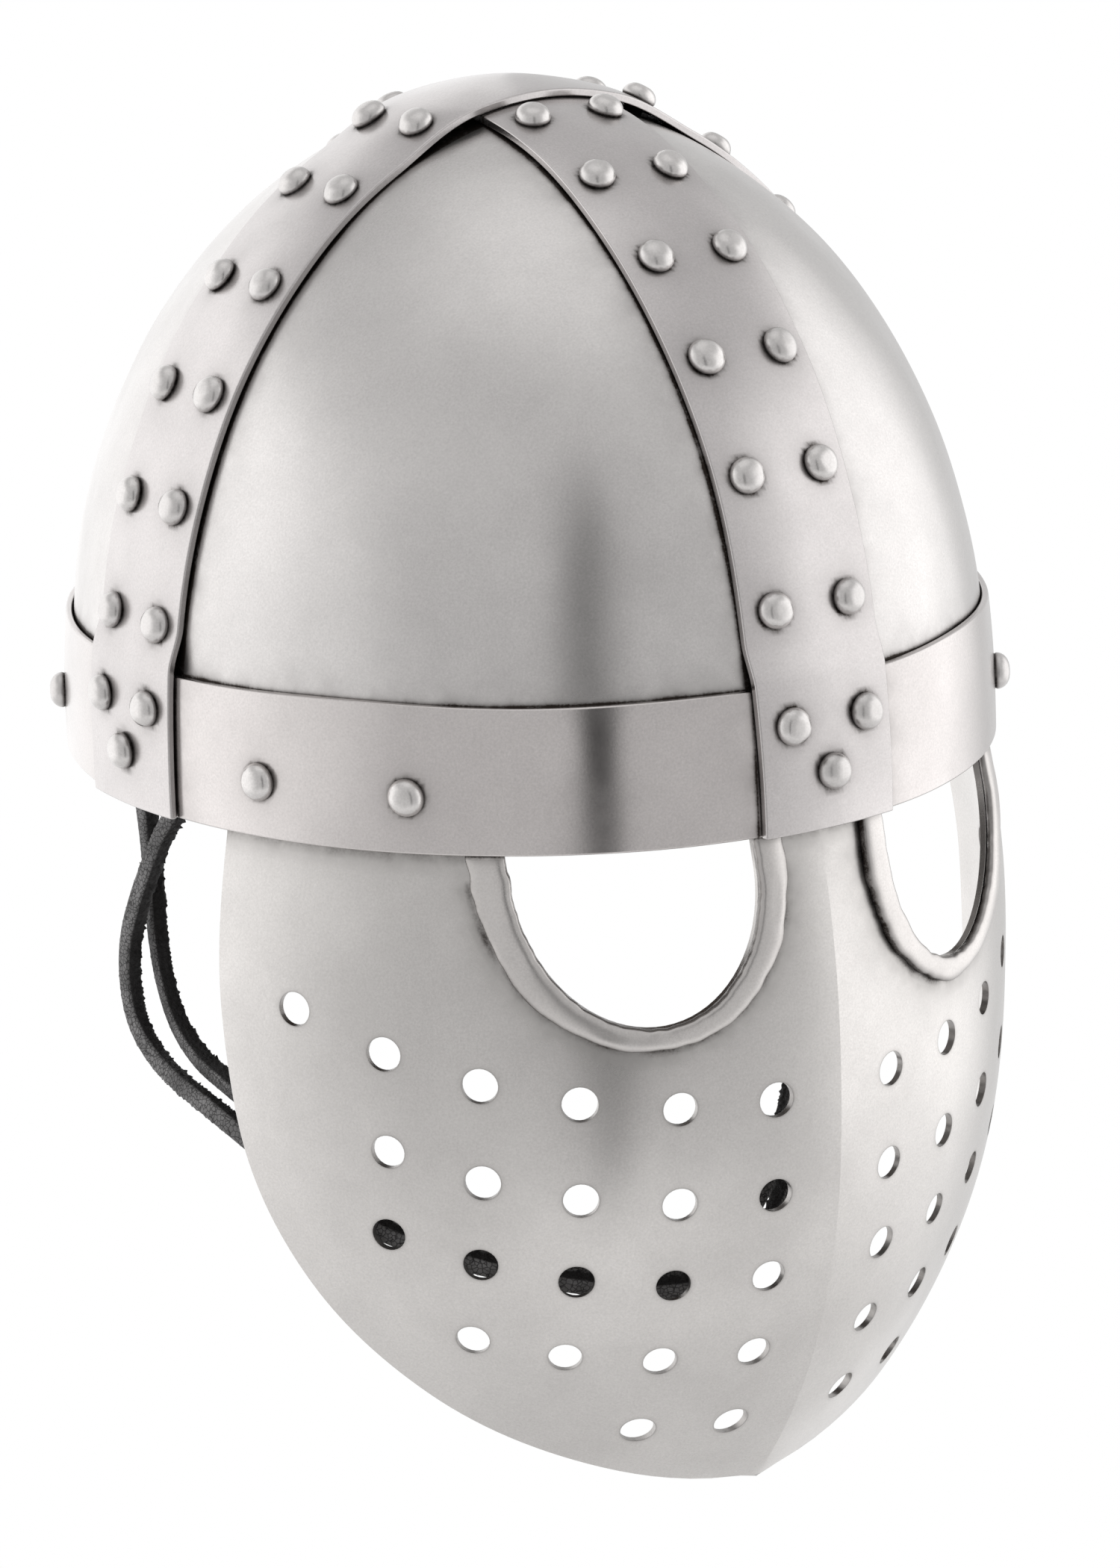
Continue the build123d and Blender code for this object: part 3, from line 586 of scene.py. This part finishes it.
def band(name, crossing):
    """One riveted band from brow edge to brow edge over the crown."""
    half = np.linspace(0, math.pi / 2, 191)
    radius, height = skin_curve(half, 8.0)
    along = np.concatenate([-radius, radius[-2::-1]])
    up = np.concatenate([height, height[-2::-1]])
    lateral = np.linspace(-1, 1, 37)
    tangent = np.stack([np.gradient(along), np.gradient(up)], -1)
    tangent /= np.linalg.norm(tangent, axis=1, keepdims=True)
    edge_path = np.stack([along, up, 0 * up], -1)
    grids = []
    for level in (SHEET, 0.0):
        points = np.zeros((len(along), len(lateral), 3))
        inward = np.zeros_like(points)
        for side in (0, 1):
            wobble = 0.28 * waves(edge_path, 45.0, 61 + side + 5 * crossing)
            share = lateral < 0 if side == 0 else lateral >= 0
            width = (BAND_HALF - 0.25 + wobble)[:, None] * lateral[share][None, :]
            points[:, share, 1 if crossing else 0] = width
        points[..., 0 if crossing else 1] = (along * (WIDTH_RATIO if crossing else 1))[:, None]
        points[..., 2] = up[:, None]
        inward[..., 0 if crossing else 1] = tangent[:, 1][:, None] * (1 / WIDTH_RATIO if crossing else 1)
        inward[..., 2] = -tangent[:, 0][:, None]
        inward /= np.linalg.norm(inward, axis=-1, keepdims=True)
        layer = lambda r, h, level=level: band_offset(r, h, level, crossing)
        grids.append(drop_onto(points, inward, layer))
    outer, inner = grids
    for grid in grids:
        grid[0, :, 2] = 0
        grid[-1, :, 2] = 0
    if not crossing:
        outer, inner = outer[:, ::-1], inner[:, ::-1]
    normals = grid_normals(outer)
    if (normals[95, 18] @ np.array([outer[95, 18, 0], outer[95, 18, 1], 40.0])) < 0:
        normals = -normals
    outer = beaten(outer, normals, 0.3, 71 + crossing)
    verts, faces = slab(outer, inner)
    material = BAND_STEEL if crossing else CROSSED_STEEL
    piece(f"{name}_steel", verts, faces, "helmet", material, [name], near_rivets(verts), 0.4)


# ------------------------------------------------------------ face plate
def eye_path(grow, count):
    """Eye outline of the left side seen from the front, from the nose side round to the ear side."""
    half = EYE_HALF_WIDTH + grow
    depth = EYE_DEPTH + 0.75 * grow - EYE_STRAIGHT
    turn = np.linspace(math.pi, 2 * math.pi, count)
    arc = np.stack([EYE_CENTRE + half * np.cos(turn), -EYE_STRAIGHT + depth * np.sin(turn)], -1)
    return arc


def breath_holes():
    """Angle and height of each hole of the left half."""
    holes = []
    for height, count in BREATH_ROWS:
        for i in range(count):
            level = height + BREATH_RISE * i * i
            holes.append(((BREATH_FIRST + BREATH_PITCH * i) / float(keel_reach(level)), level))
    return holes


def outline_loops():
    """Outer loop, then holes, of the whole plate as (angle, height)."""
    edge = catmull(SIDE_EDGE, 14)
    edge = edge[edge[:, 1] <= PLATE_TOP]
    behind_keel = edge[:, 0] > -plate_reach(0 * edge[:, 1], edge[:, 1], 0)
    edge = edge[behind_keel]
    angles = angle_at_y(edge[:, 0], edge[:, 1])
    low = float(edge[-1, 1])
    half = [(angles[0], PLATE_TOP)] + list(zip(angles, edge[:, 1]))
    curve = eye_path(0, 41)
    nose = (angle_at_x(np.array([curve[0, 0]]), np.array([0.0]))[0], 0.0)
    ear = (angle_at_x(np.array([curve[-1, 0]]), np.array([0.0]))[0], 0.0)
    eye = [nose] + list(zip(angle_at_x(curve[:, 0], curve[:, 1]), curve[:, 1])) + [ear]
    outer = half + [(0.0, low - 1.5)] + [(-a, h) for a, h in half[::-1]]
    loops = [outer, eye, [(-a, h) for a, h in eye[::-1]]]
    for angle, level in breath_holes():
        slope = float(keel_reach(level + 1) - keel_reach(level - 1)) / 2
        reach = float(plate_reach(np.array(angle), level, 0))
        radius = BREATH_HOLE / 2
        for sign in (1, -1):
            wear = rng.uniform(0.96, 1.03)
            turn = np.linspace(0, 2 * math.pi, 28, endpoint=False)
            loops.append([(sign * angle + wear * radius * math.cos(t) / reach,
                           level + wear * radius * math.sin(t) / math.hypot(1, slope)) for t in turn])
    return loops


def inside(points, loop):
    """Which points lie inside a loop."""
    loop = np.array(loop)
    x, y = points[:, 0], points[:, 1]
    result = np.zeros(len(points), bool)
    x0, y0 = loop[:, 0], loop[:, 1]
    x1, y1 = np.roll(x0, -1), np.roll(y0, -1)
    for ax, ay, bx, by in zip(x0, y0, x1, y1):
        crosses = ((ay > y) != (by > y)) & (x < (bx - ax) * (y - ay) / (by - ay + 1e-12) + ax)
        result ^= crosses
    return result


SPREAD = 110.0  # turns plan angle into about millimetres for even triangles


def gap_to(points, ring):
    """Distance of each flat point from the nearest point of a ring."""
    apart = points[:, None, :] - ring[None, :, :]
    return np.min(np.hypot(apart[..., 0], apart[..., 1]), axis=1)


def face_plate():
    loops = [[(a * SPREAD, h) for a, h in loop] for loop in outline_loops()]
    coords = []
    edges = []
    for loop in loops:
        base = len(coords)
        for i in range(len(loop)):
            coords.append(loop[i])
            edges.append((base + i, base + (i + 1) % len(loop)))
    rings = []
    for loop in loops[3:]:
        loop = np.array(loop)
        rings.extend(loop.mean(axis=0) + (loop - loop.mean(axis=0)) * share for share in (1.12, 1.35))
    for sign in (1, -1):
        for grow in (0.4, 1.2, 2.4):
            rim = eye_path(RIM_WIDTH + grow, 70)
            rings.append(np.stack([sign * angle_at_x(rim[:, 0], rim[:, 1]) * SPREAD, rim[:, 1]], -1))
    rings = np.vstack(rings)
    outline = np.vstack([np.array(loop) for loop in loops] + [rings])
    step = 2.6
    grid = []
    for row, height in enumerate(np.arange(PLATE_TOP - step, -CHIN_DEPTH, -step)):
        shift = 0.0 if row % 2 == 0 else step / 2
        columns = np.arange(0, 150, step) + shift
        mirrored = -columns[::-1] if shift else -columns[:0:-1]
        columns = np.concatenate([mirrored, columns])
        grid.append(np.stack([columns, np.full(len(columns), height)], -1))
    grid = np.vstack(grid)
    keep = inside(grid, loops[0])
    for loop in loops[1:]:
        keep &= ~inside(grid, loop)
    grid = grid[keep]
    gap = np.full(len(grid), 1e9)
    for point in outline:
        gap = np.minimum(gap, np.hypot(*(grid - point).T))
    grid = grid[gap > 0.45 * step]
    keel = grid[np.abs(grid[:, 0]) < 1e-6]
    start = len(coords)
    coords.extend([tuple(p) for p in keel])
    keel_edges = [(start + i, start + i + 1) for i in range(len(keel) - 1)]
    coords.extend([tuple(p) for p in grid[np.abs(grid[:, 0]) >= 1e-6]])
    coords.extend([tuple(p) for p in rings])
    result = geometry.delaunay_2d_cdt([Vector(c) for c in coords], edges + keel_edges, [], 0, 1e-5)
    flat = np.array([list(v) for v in result[0]])
    centres = np.array([[np.mean([flat[i][k] for i in f]) for k in (0, 1)] for f in result[2]])
    keep = inside(centres, loops[0])
    for loop in loops[1:]:
        keep &= ~inside(centres, loop)
    faces = [f for f, k in zip(result[2], keep) if k]
    used = sorted({i for f in faces for i in f})
    index = {old: new for new, old in enumerate(used)}
    faces = [tuple(index[i] for i in f) for f in faces]
    flat = flat[used]
    angle, height = flat[:, 0] / SPREAD, flat[:, 1]
    outer = plate_point(angle, height, 0)
    inner = plate_point(angle, height, -PLATE_SHEET)
    normals = (outer - inner) / np.linalg.norm(outer - inner, axis=1, keepdims=True)
    calm = smooth(np.abs(angle) / 0.12)
    outer = outer - normals * ((0.2 + 0.2 * waves(outer, 55.0, 81)) * calm + 0.05)[:, None]
    count = len(flat)
    border = {}
    for f in faces:
        for a, b in zip(f, f[1:] + f[:1]):
            border[(a, b)] = border.get((a, b), 0) + 1
    sheet = [tuple(f) for f in faces] + [tuple(count + i for i in f[::-1]) for f in faces]
    for (a, b) in border:
        if (b, a) not in border:
            sheet.append((b, a, count + a, count + b))
    verts = np.vstack([outer, inner])
    both = np.vstack([flat, flat])
    # Painted shade on the plate: a thin dark ring round each breathing hole, a dark line and smudge round
    # each eye rim's outer edge, and darkening under the brow band's lower edge
    shade = np.zeros(len(verts))
    for loop, depth in zip(loops[1:], [0, 0] + [0.4] * (len(loops) - 3)):
        shade = np.maximum(shade, depth * np.exp(-gap_to(both, np.array(loop)) / 0.3))
    for sign in (1, -1):
        rim = eye_path(RIM_WIDTH, 60)
        ring = np.stack([sign * angle_at_x(rim[:, 0], rim[:, 1]) * SPREAD, rim[:, 1]], -1)
        gap = gap_to(both, ring)
        shade = np.maximum(shade, 0.95 * np.exp(-gap / 0.9) + 0.30 * np.exp(-gap / 4.5))
    shade = np.maximum(shade, 0.6 * np.exp(np.minimum(both[:, 1] + 1.5, 0) / 2.0))
    plate = piece("face_plate_steel", verts, sheet, "helmet", PLATE_STEEL, ["face_plate"],
                  np.minimum(shade, 1), 0.25)
    ends = np.zeros(2 * len(plate.data.edges), np.int32)
    plate.data.edges.foreach_get("vertices", ends)
    ends = ends.reshape(-1, 2)
    on_keel = np.all((np.abs(verts[ends][..., 0]) < 1e-6) & (verts[ends][..., 2] < -4), axis=1)
    plate.data.attributes.new("sharp_edge", "BOOLEAN", "EDGE").data.foreach_set("value", on_keel)


def eye_rim(side, seed):
    """Raised strip with a rounded section, hammered down round an eye opening."""
    count = 121
    inner_edge = eye_path(-0.25, count)
    outer_edge = eye_path(RIM_WIDTH, count)
    straight = np.linspace(RIM_TOP, -EYE_STRAIGHT, 9)[:-1]
    inner_edge = np.vstack([[(inner_edge[0, 0], h) for h in straight], inner_edge,
                            [(inner_edge[-1, 0], h) for h in straight[::-1]]])
    outer_edge = np.vstack([[(outer_edge[0, 0], h) for h in straight], outer_edge,
                            [(outer_edge[-1, 0], h) for h in straight[::-1]]])
    path = np.stack([outer_edge[:, 0], outer_edge[:, 1], 0 * outer_edge[:, 0]], -1)
    ragged = 0.30 * waves(path, 16.0, seed) + 0.16 * waves(path, 5.0, seed + 1)
    nibble = 0.12 * waves(path, 4.0, seed + 2)
    turn = np.linspace(0, math.pi, 15)
    across = (1 - np.cos(turn)) / 2
    rise = 0.35 + 0.65 * np.sin(turn) ** 0.6
    rise[0], rise[-1] = 0.3, 0.12
    section_across = np.concatenate([[0.0], across, [1.0]])
    section_rise = np.concatenate([[0.0], rise, [0.0]])
    rows = []
    for share, lift in zip(section_across, section_rise):
        x = inner_edge[:, 0] * (1 - share) + outer_edge[:, 0] * share
        z = inner_edge[:, 1] * (1 - share) + outer_edge[:, 1] * share
        way = outer_edge - inner_edge
        way /= np.linalg.norm(way, axis=1, keepdims=True)
        push = ragged * share ** 3 + nibble * (1 - share) ** 3
        x, z = x + way[:, 0] * push, np.minimum(z + way[:, 1] * push, RIM_TOP)
        height = GAP + lift * (RIM_HEIGHT - GAP) * (1 + 0.05 * waves(path, 12.0, seed + 3))
        rows.append(plate_point(angle_at_x(x, z), z, np.minimum(height, RIM_HEIGHT)))
    grid = np.stack(rows)
    grid[..., 0] *= side
    rows_count, cols = grid.shape[:2]
    verts = grid.reshape(-1, 3)
    faces = []
    for r in range(rows_count):
        nxt = (r + 1) % rows_count
        for c in range(cols - 1):
            face = (r * cols + c, r * cols + c + 1, nxt * cols + c + 1, nxt * cols + c)
            faces.append(face if side < 0 else face[::-1])
    first_end = tuple(r * cols for r in range(rows_count))
    last_end = tuple(r * cols + cols - 1 for r in range(rows_count))
    faces.append(first_end if side > 0 else first_end[::-1])
    faces.append(last_end[::-1] if side > 0 else last_end)
    # Painted shade: dark along the rim's outer edge and at its top ends under the brow band; also darker
    # along its inner cut edge
    patina_and_painted_shade = np.repeat(1.0 * np.exp(-(1 - section_across) * RIM_WIDTH / 0.45)
                       + 0.5 * np.exp(-section_across * RIM_WIDTH / 0.35), cols)
    patina_and_painted_shade = np.maximum(patina_and_painted_shade, np.exp(-np.abs(verts[:, 2] - RIM_TOP) / 0.8))
    name = "left" if side > 0 else "right"
    piece(f"eye_rim_{name}_steel", verts, faces, "helmet", RIM_STEEL, [f"eye_rim_{name}"],
          np.minimum(patina_and_painted_shade, 1))


# ------------------------------------------------------------ rivets
def lathe(profile, segments):
    """Solid of revolution about Z from (radius, height) points that start and end on the axis."""
    verts = [(0, 0, profile[0][1])]
    for radius, height in profile[1:-1]:
        for i in range(segments):
            turn = 2 * math.pi * i / segments
            verts.append((radius * math.cos(turn), radius * math.sin(turn), height))
    verts.append((0, 0, profile[-1][1]))
    faces = []
    rings = len(profile) - 2
    for i in range(segments):
        j = (i + 1) % segments
        faces.append((0, 1 + i, 1 + j))
        for r in range(rings - 1):
            a, b = 1 + r * segments, 1 + (r + 1) * segments
            faces.append((a + i, b + i, b + j, a + j))
        top = 1 + (rings - 1) * segments
        faces.append((len(verts) - 1, top + j, top + i))
    return np.array(verts, float), faces


def head_profile():
    turn = np.linspace(0, math.pi / 2, 9)
    dome = [(HEAD_RADIUS * math.cos(t) ** 0.85, 0.35 + (HEAD_HEIGHT - 0.35) * math.sin(t)) for t in turn[:-1]]
    return [(0, -0.4), (HEAD_RADIUS * 0.93, -0.4), (HEAD_RADIUS * 0.97, 0.05)] + dome + [(0, HEAD_HEIGHT)]


def rivet_depth(point, normal, offset):
    low, high = 0.0, 30.0
    for _ in range(40):
        middle = (low + high) / 2
        p = point - normal * middle
        if math.hypot(p[0] / WIDTH_RATIO, p[1]) > skin_radius(p[2], offset):
            low = middle
        else:
            high = middle
    return low


def rivets(name, seats, inner_offset, grip, seed):
    """A row of hand-set domed rivets with their flattened tails inside."""
    source = np.random.default_rng(seed)
    verts, faces, patina_and_painted_shade = [], [], []
    total = 0
    for point, normal in seats:
        helper = np.array([0, 0, 1.0]) if abs(normal[2]) < 0.9 else np.array([1.0, 0, 0])
        side = np.cross(helper, normal)
        side /= np.linalg.norm(side)
        up = np.cross(normal, side)
        depth = rivet_depth(point, normal, inner_offset) + grip
        end = -depth - TAIL_HEIGHT
        tail = [(0, end), (TAIL_RADIUS - 0.9, end), (TAIL_RADIUS, end + TAIL_HEIGHT / 2),
                (TAIL_RADIUS - 0.1, -depth), (SHANK_RADIUS, -depth), (SHANK_RADIUS, -0.3), (0, -0.3)]
        head, head_faces = lathe(head_profile(), 32)
        spin = source.uniform(0, 6.28)
        swell = 1 + 0.02 * np.sin(2 * np.arctan2(head[:, 1], head[:, 0]) + spin)
        head[:, :2] *= swell[:, None] * source.uniform(0.955, 1.0)
        facet = source.uniform(0.90, 1.0) * HEAD_HEIGHT
        tilt = source.normal(0, 0.055, 2)
        plane = facet + head[:, 0] * tilt[0] + head[:, 1] * tilt[1]
        head[:, 2] = np.where(head[:, 2] > plane, plane + 0.35 * (head[:, 2] - plane), head[:, 2])
        for part, part_faces, foot in ((head, head_faces, True), (*lathe(tail, 20), False)):
            placed = point + part[:, :1] * side + part[:, 1:2] * up + part[:, 2:] * normal
            verts.append(placed)
            faces.extend(tuple(total + i for i in f) for f in part_faces)
            patina_and_painted_shade.append(0.85 * np.exp(-np.maximum(part[:, 2] - 0.1, 0) / 0.28) if foot
                          else np.full(len(part), 0.5))
            total += len(part)
    piece(f"{name}_heads", np.vstack(verts), faces, "helmet", RIVET_STEEL, [name],
          np.concatenate(patina_and_painted_shade))


# ------------------------------------------------------------ leather
def liner_band():
    bearings = np.linspace(-math.pi, math.pi, 240, endpoint=False)
    lo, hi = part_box("liner_band")
    heights = np.linspace(lo.z / MM, hi.z / MM, 9)
    theta, height = np.meshgrid(bearings, heights)
    grids = []
    for offset in (LINER_OUTSIDE, LINER_INSIDE):
        reach = skin_radius(height, offset) / np.hypot(np.sin(theta) / WIDTH_RATIO, np.cos(theta))
        grids.append(np.stack([reach * np.sin(theta), -reach * np.cos(theta), height], -1))
    verts, faces = slab(*grids, wrap=True)
    patina_and_painted_shade = 0.5 + 0.4 * waves(verts, 30.0, 91)
    piece("liner_band_leather", verts, faces, "helmet", LINER_LEATHER, ["liner_band"],
          np.clip(patina_and_painted_shade, 0, 1), 0.5)


def petals():
    start_radius = skin_radius(34.0, LINER_OUTSIDE)
    top = CROWN - 30.0
    share = np.linspace(0, 1, 36)
    radius = start_radius + (24.0 - start_radius) * share
    reach = (start_radius - radius) / start_radius
    height = 34.5 + (top - 34.0) * np.sqrt(np.maximum(0, 1 - (1 - reach) ** 2.2))
    for index in range(8):
        turns = np.radians(np.linspace(45 * index + 2.5, 45 * index + 42.5, 22))
        cup = 1.3 * (1 - np.linspace(-1, 1, 22) ** 2)
        grids = []
        for inset, fall in ((0.0, 0.0), (LEATHER, LEATHER)):
            r = (radius - inset - 0.3)[:, None] - (cup * 0.4)[None, :]
            h = (height - fall * share)[:, None] - 0.2 - 0 * r
            across, along = WIDTH_RATIO * r * np.cos(turns)[None, :], r * np.sin(turns)[None, :]
            grids.append(np.stack([across, along, h], -1))
        verts, faces = slab(*grids)
        patina_and_painted_shade = np.clip(0.5 + 0.4 * waves(verts, 25.0, 95 + index), 0, 1)
        node = f"liner_petal_{index + 1}"
        piece(f"{node}_leather", verts, faces, "helmet", LINER_LEATHER, [node], patina_and_painted_shade, 0.4)


THONG = 4.4
THONG_FRONT = [
    (-94.7, -6.5, 5.0), (-95.5, 8.0, -8.0), (-97.0, 14.5, -19.0), (-98.0, 21.1, -30.7),
    (-98.5, 26.0, -41.6), (-99.0, 26.4, -52.3), (-99.5, 22.8, -61.5), (-100.0, 13.0, -67.4),
    (-101.0, 0.8, -69.7), (-102.0, -12.0, -70.6), (-101.6, -25.0, -73.2), (-98.0, -42.5, -80.0),
    (-89.0, -60.0, -90.0), (-75.0, -75.5, -97.0), (-57.0, -90.0, -102.5), (-37.0, -100.5, -107.0),
    (-19.0, -105.0, -106.0), (-6.0, -104.0, -96.5), (6.0, -96.5, -84.0), (27.0, -79.0, -71.0),
    (50.0, -58.0, -55.0), (71.0, -36.0, -37.0), (86.5, -18.5, -19.5), (93.5, -9.0, -6.0),
    (94.7, -6.5, 5.0)]
THONG_REAR = [
    (-94.7, 20.5, 5.0), (-92.0, 26.0, -8.0), (-90.0, 28.0, -19.0), (-90.5, 27.0, -31.0),
    (-92.0, 24.0, -41.5), (-93.5, 19.0, -51.5), (-95.0, 10.5, -60.0), (-96.0, -1.5, -65.0),
    (-96.6, -14.0, -66.6), (-95.5, -26.0, -70.0), (-91.5, -40.5, -77.5), (-83.0, -56.0, -87.5),
    (-70.0, -70.0, -96.0), (-53.0, -84.0, -102.0), (-34.5, -94.0, -106.0), (-18.0, -97.5, -103.0),
    (-4.0, -95.5, -93.5), (11.0, -86.5, -81.0), (29.0, -69.0, -68.5), (49.0, -47.0, -53.5),
    (69.0, -22.5, -36.5), (84.5, 0.0, -20.0), (92.5, 14.0, -7.0), (94.7, 20.5, 5.0)]


def route_line(points):
    """Points along the smooth line of a route, read from its NURBS spline."""
    curve = bpy.data.curves.new("route", "CURVE")
    curve.dimensions = "3D"
    curve.resolution_u = 14
    spline = curve.splines.new("NURBS")
    spline.points.add(len(points) - 1)
    for point, place in zip(spline.points, points):
        point.co = (*(MM * c for c in place), 1)
    spline.order_u = 3
    spline.use_endpoint_u = True
    holder = bpy.data.objects.new("route", curve)
    bpy.context.scene.collection.objects.link(holder)
    bpy.context.view_layer.update()
    mesh = bpy.data.meshes.new_from_object(holder)
    line = np.array([v.co[:] for v in mesh.vertices]) / MM
    bpy.data.objects.remove(holder)
    bpy.data.meshes.remove(mesh)
    bpy.data.curves.remove(curve)
    return line


def resample(line, step):
    """Points at even steps along a line."""
    lengths = np.concatenate([[0], np.cumsum(np.linalg.norm(np.diff(line, axis=0), axis=1))])
    wanted = np.linspace(0, lengths[-1], int(lengths[-1] / step))
    return np.stack([np.interp(wanted, lengths, line[:, k]) for k in range(3)], -1)


def thong(name, route, seed):
    """Square-cut leather thong: a worn grain side and three rough, fibrous sides."""
    line = resample(route_line(route), 0.55)
    tangent = np.gradient(line, axis=0)
    tangent /= np.linalg.norm(tangent, axis=1, keepdims=True)
    outward = line * np.array([1.0, 1.0, 0.0])
    outward /= np.linalg.norm(outward, axis=1, keepdims=True)
    face = outward - tangent * np.sum(outward * tangent, axis=1, keepdims=True)
    face /= np.linalg.norm(face, axis=1, keepdims=True)
    side = np.cross(tangent, face)
    twist = 0.35 * np.sin(np.linspace(0, 9, len(line)) + seed)
    half = THONG / 2 - 0.15
    turns = np.linspace(0, 2 * math.pi, 36, endpoint=False)
    corner = 1 / np.maximum(np.abs(np.cos(turns)), np.abs(np.sin(turns)))
    shape = half * np.minimum(corner, 1.24)
    rows = []
    shade = []
    source = np.random.default_rng(seed)
    for turn, reach in zip(turns, shape):
        grain = math.cos(turn) > 0.62
        rough = 0.05 if grain else 0.26
        fuzz = rough * source.normal(0, 1, len(line))
        fuzz = 0.5 * fuzz + 0.5 * np.abs(fuzz)
        spin = turn + twist
        reach = reach * (1 + 0.03 * np.sin(np.linspace(0, 40, len(line)) + seed)) + fuzz
        rows.append(line + face * (reach * np.cos(spin))[:, None] + side * (reach * np.sin(spin))[:, None])
        shade.append(np.full(len(line), 1.0 if grain else 0.05))
    grid = np.stack(rows)
    cols = len(line)
    verts = grid.reshape(-1, 3)
    faces = []
    for r in range(len(turns)):
        nxt = (r + 1) % len(turns)
        for c in range(cols - 1):
            faces.append((r * cols + c, r * cols + c + 1, nxt * cols + c + 1, nxt * cols + c))
    faces.append(tuple(r * cols for r in range(len(turns))))
    faces.append(tuple(r * cols + cols - 1 for r in range(len(turns)))[::-1])
    obj = piece(f"{name}_leather", verts, faces, "chin_strap", THONG_LEATHER, [name],
                np.concatenate(shade))


def dress(node, material):
    """Gives a CAD node its finish."""
    obj = frame["nodes"][node]
    obj.data.materials.clear()
    obj.data.materials.append(material)


# ------------------------------------------------------------ set
# Brightness of the studio round the helmet: degrees from the camera's side, brightness
STUDIO = [(-180, 1.15), (-125, 1.6), (-88, 1.6), (-62, 1.1), (-38, 0.78), (-15, 0.76), (1, 0.76), (4, 0.04),
          (10.5, 0.04), (13.5, 0.76), (44, 0.74), (58, 1.0), (74, 1.6), (122, 1.8), (148, 0.8), (165, 0.8)]
# Between two rises of a ray, the brightness turns into that of the upper walls, the zenith, the near
# floor and the floor below
SET_LEVELS = [(0.45, 0.72, 0.80), (0.84, 0.97, 1.08), (-0.33, -0.62, 1.08), (-0.72, -0.92, 0.92)]


def blend(tree, share, first, second):
    rest = math_node(tree, "SUBTRACT", 1.0, share)
    return math_node(tree, "ADD", math_node(tree, "MULTIPLY", first, rest),
                     math_node(tree, "MULTIPLY", share, second))


def world():
    """White studio: pale walls, brighter at both sides, a narrow dark stand beside the camera."""
    scene_world = bpy.data.worlds.new("studio")
    bpy.context.scene.world = scene_world
    scene_world.use_nodes = True
    tree = scene_world.node_tree
    tree.nodes.clear()
    way = add(tree, "ShaderNodeTexCoord").outputs["Generated"]
    axes = add(tree, "ShaderNodeSeparateXYZ", {0: way})
    ahead = math_node(tree, "MULTIPLY", axes.outputs[1], -1.0)
    azimuth = math_node(tree, "ARCTAN2", axes.outputs[0], ahead)
    turn = math_node(tree, "SUBTRACT", azimuth, CAMERA_AZIMUTH)
    wrapped = math_node(tree, "FRACT", math_node(tree, "ADD", math_node(
        tree, "DIVIDE", turn, 2 * math.pi), 0.5), 0.0)
    walls = add(tree, "ShaderNodeValToRGB", {"Fac": wrapped})
    stops = walls.color_ramp.elements
    for degrees, _ in STUDIO[2:]:
        stops.new(degrees / 360 + 0.5)
    for stop, (degrees, bright) in zip(stops, STUDIO):
        stop.position = degrees / 360 + 0.5
        stop.color = (bright / 2, bright / 2, bright / 2, 1)
    level = math_node(tree, "MULTIPLY", walls.outputs[0], 2.0)
    for low, high, value in SET_LEVELS:
        level = blend(tree, ramp(tree, axes.outputs[2], low, high), level, value)
    seen = add(tree, "ShaderNodeLightPath").outputs["Is Camera Ray"]
    level = blend(tree, seen, level, 1.0)
    back = add(tree, "ShaderNodeBackground", {"Color": (1, 1, 1, 1), "Strength": level})
    output = add(tree, "ShaderNodeOutputWorld")
    tree.links.new(back.outputs[0], output.inputs["Surface"])


CAMERA_AZIMUTH = math.radians(-33.889)
CAMERA_ELEVATION = math.radians(15.644)
CAMERA_ROLL = math.radians(-2.026)
CAMERA_DISTANCE = 1.07968
CAMERA_TARGET = Vector((0.006036, -0.004055, -0.016025))
LENS = 101.88


def camera():
    data = bpy.data.cameras.new("camera")
    data.lens = LENS
    data.sensor_width = 36.0
    data.sensor_fit = "AUTO"
    data.clip_start, data.clip_end = 0.05, 200.0
    obj = bpy.data.objects.new("camera", data)
    bpy.context.scene.collection.objects.link(obj)
    a, e = CAMERA_AZIMUTH, CAMERA_ELEVATION
    back = Vector((math.sin(a) * math.cos(e), -math.cos(a) * math.cos(e), math.sin(e)))
    right = Vector((math.cos(a), math.sin(a), 0))
    up = back.cross(right)
    turn = CAMERA_ROLL
    rolled_right = math.cos(turn) * right + math.sin(turn) * up
    rolled_up = -math.sin(turn) * right + math.cos(turn) * up
    place = Matrix((rolled_right, rolled_up, back)).transposed().to_4x4()
    place.translation = CAMERA_TARGET + back * CAMERA_DISTANCE
    obj.matrix_world = place
    bpy.context.scene.camera = obj


# ------------------------------------------------------------ assembly
camera()
thong("chin_thong_front", THONG_FRONT, 3)
thong("chin_thong_rear", THONG_REAR, 5)
skull_plates()
brow_band()
band("front_back_band", False)
band("transverse_band", True)
face_plate()
eye_rim(-1, 101)
eye_rim(1, 111)
for number, (leg, seats) in enumerate(PAIR_SEATS.items()):
    rivets(f"{leg}_band_rivets", seats, -SKULL_SHEET, BAND_GRIP, 200 + number)
rivets("face_plate_rivets", FACE_SEATS, LINER_INSIDE, WASHER_GRIP, 210)
rivets("rear_brow_rivets", REAR_SEATS, LINER_INSIDE, WASHER_GRIP, 211)
rivets("ear_rivets", EAR_SEATS, LINER_INSIDE, EAR_GRIP, 212)
liner_band()
petals()
for washers in ("plate_packing_washers", "liner_washers", "ear_spacers", "ear_washers"):
    dress(washers, WASHER_STEEL)
dress("crown_lace", LACE_LEATHER)
dress("strap_tab_right", TAB_LEATHER)
dress("strap_tab_left", TAB_LEATHER)
world()
view = bpy.context.scene.view_settings
view.view_transform = "Standard"
view.look = "None"
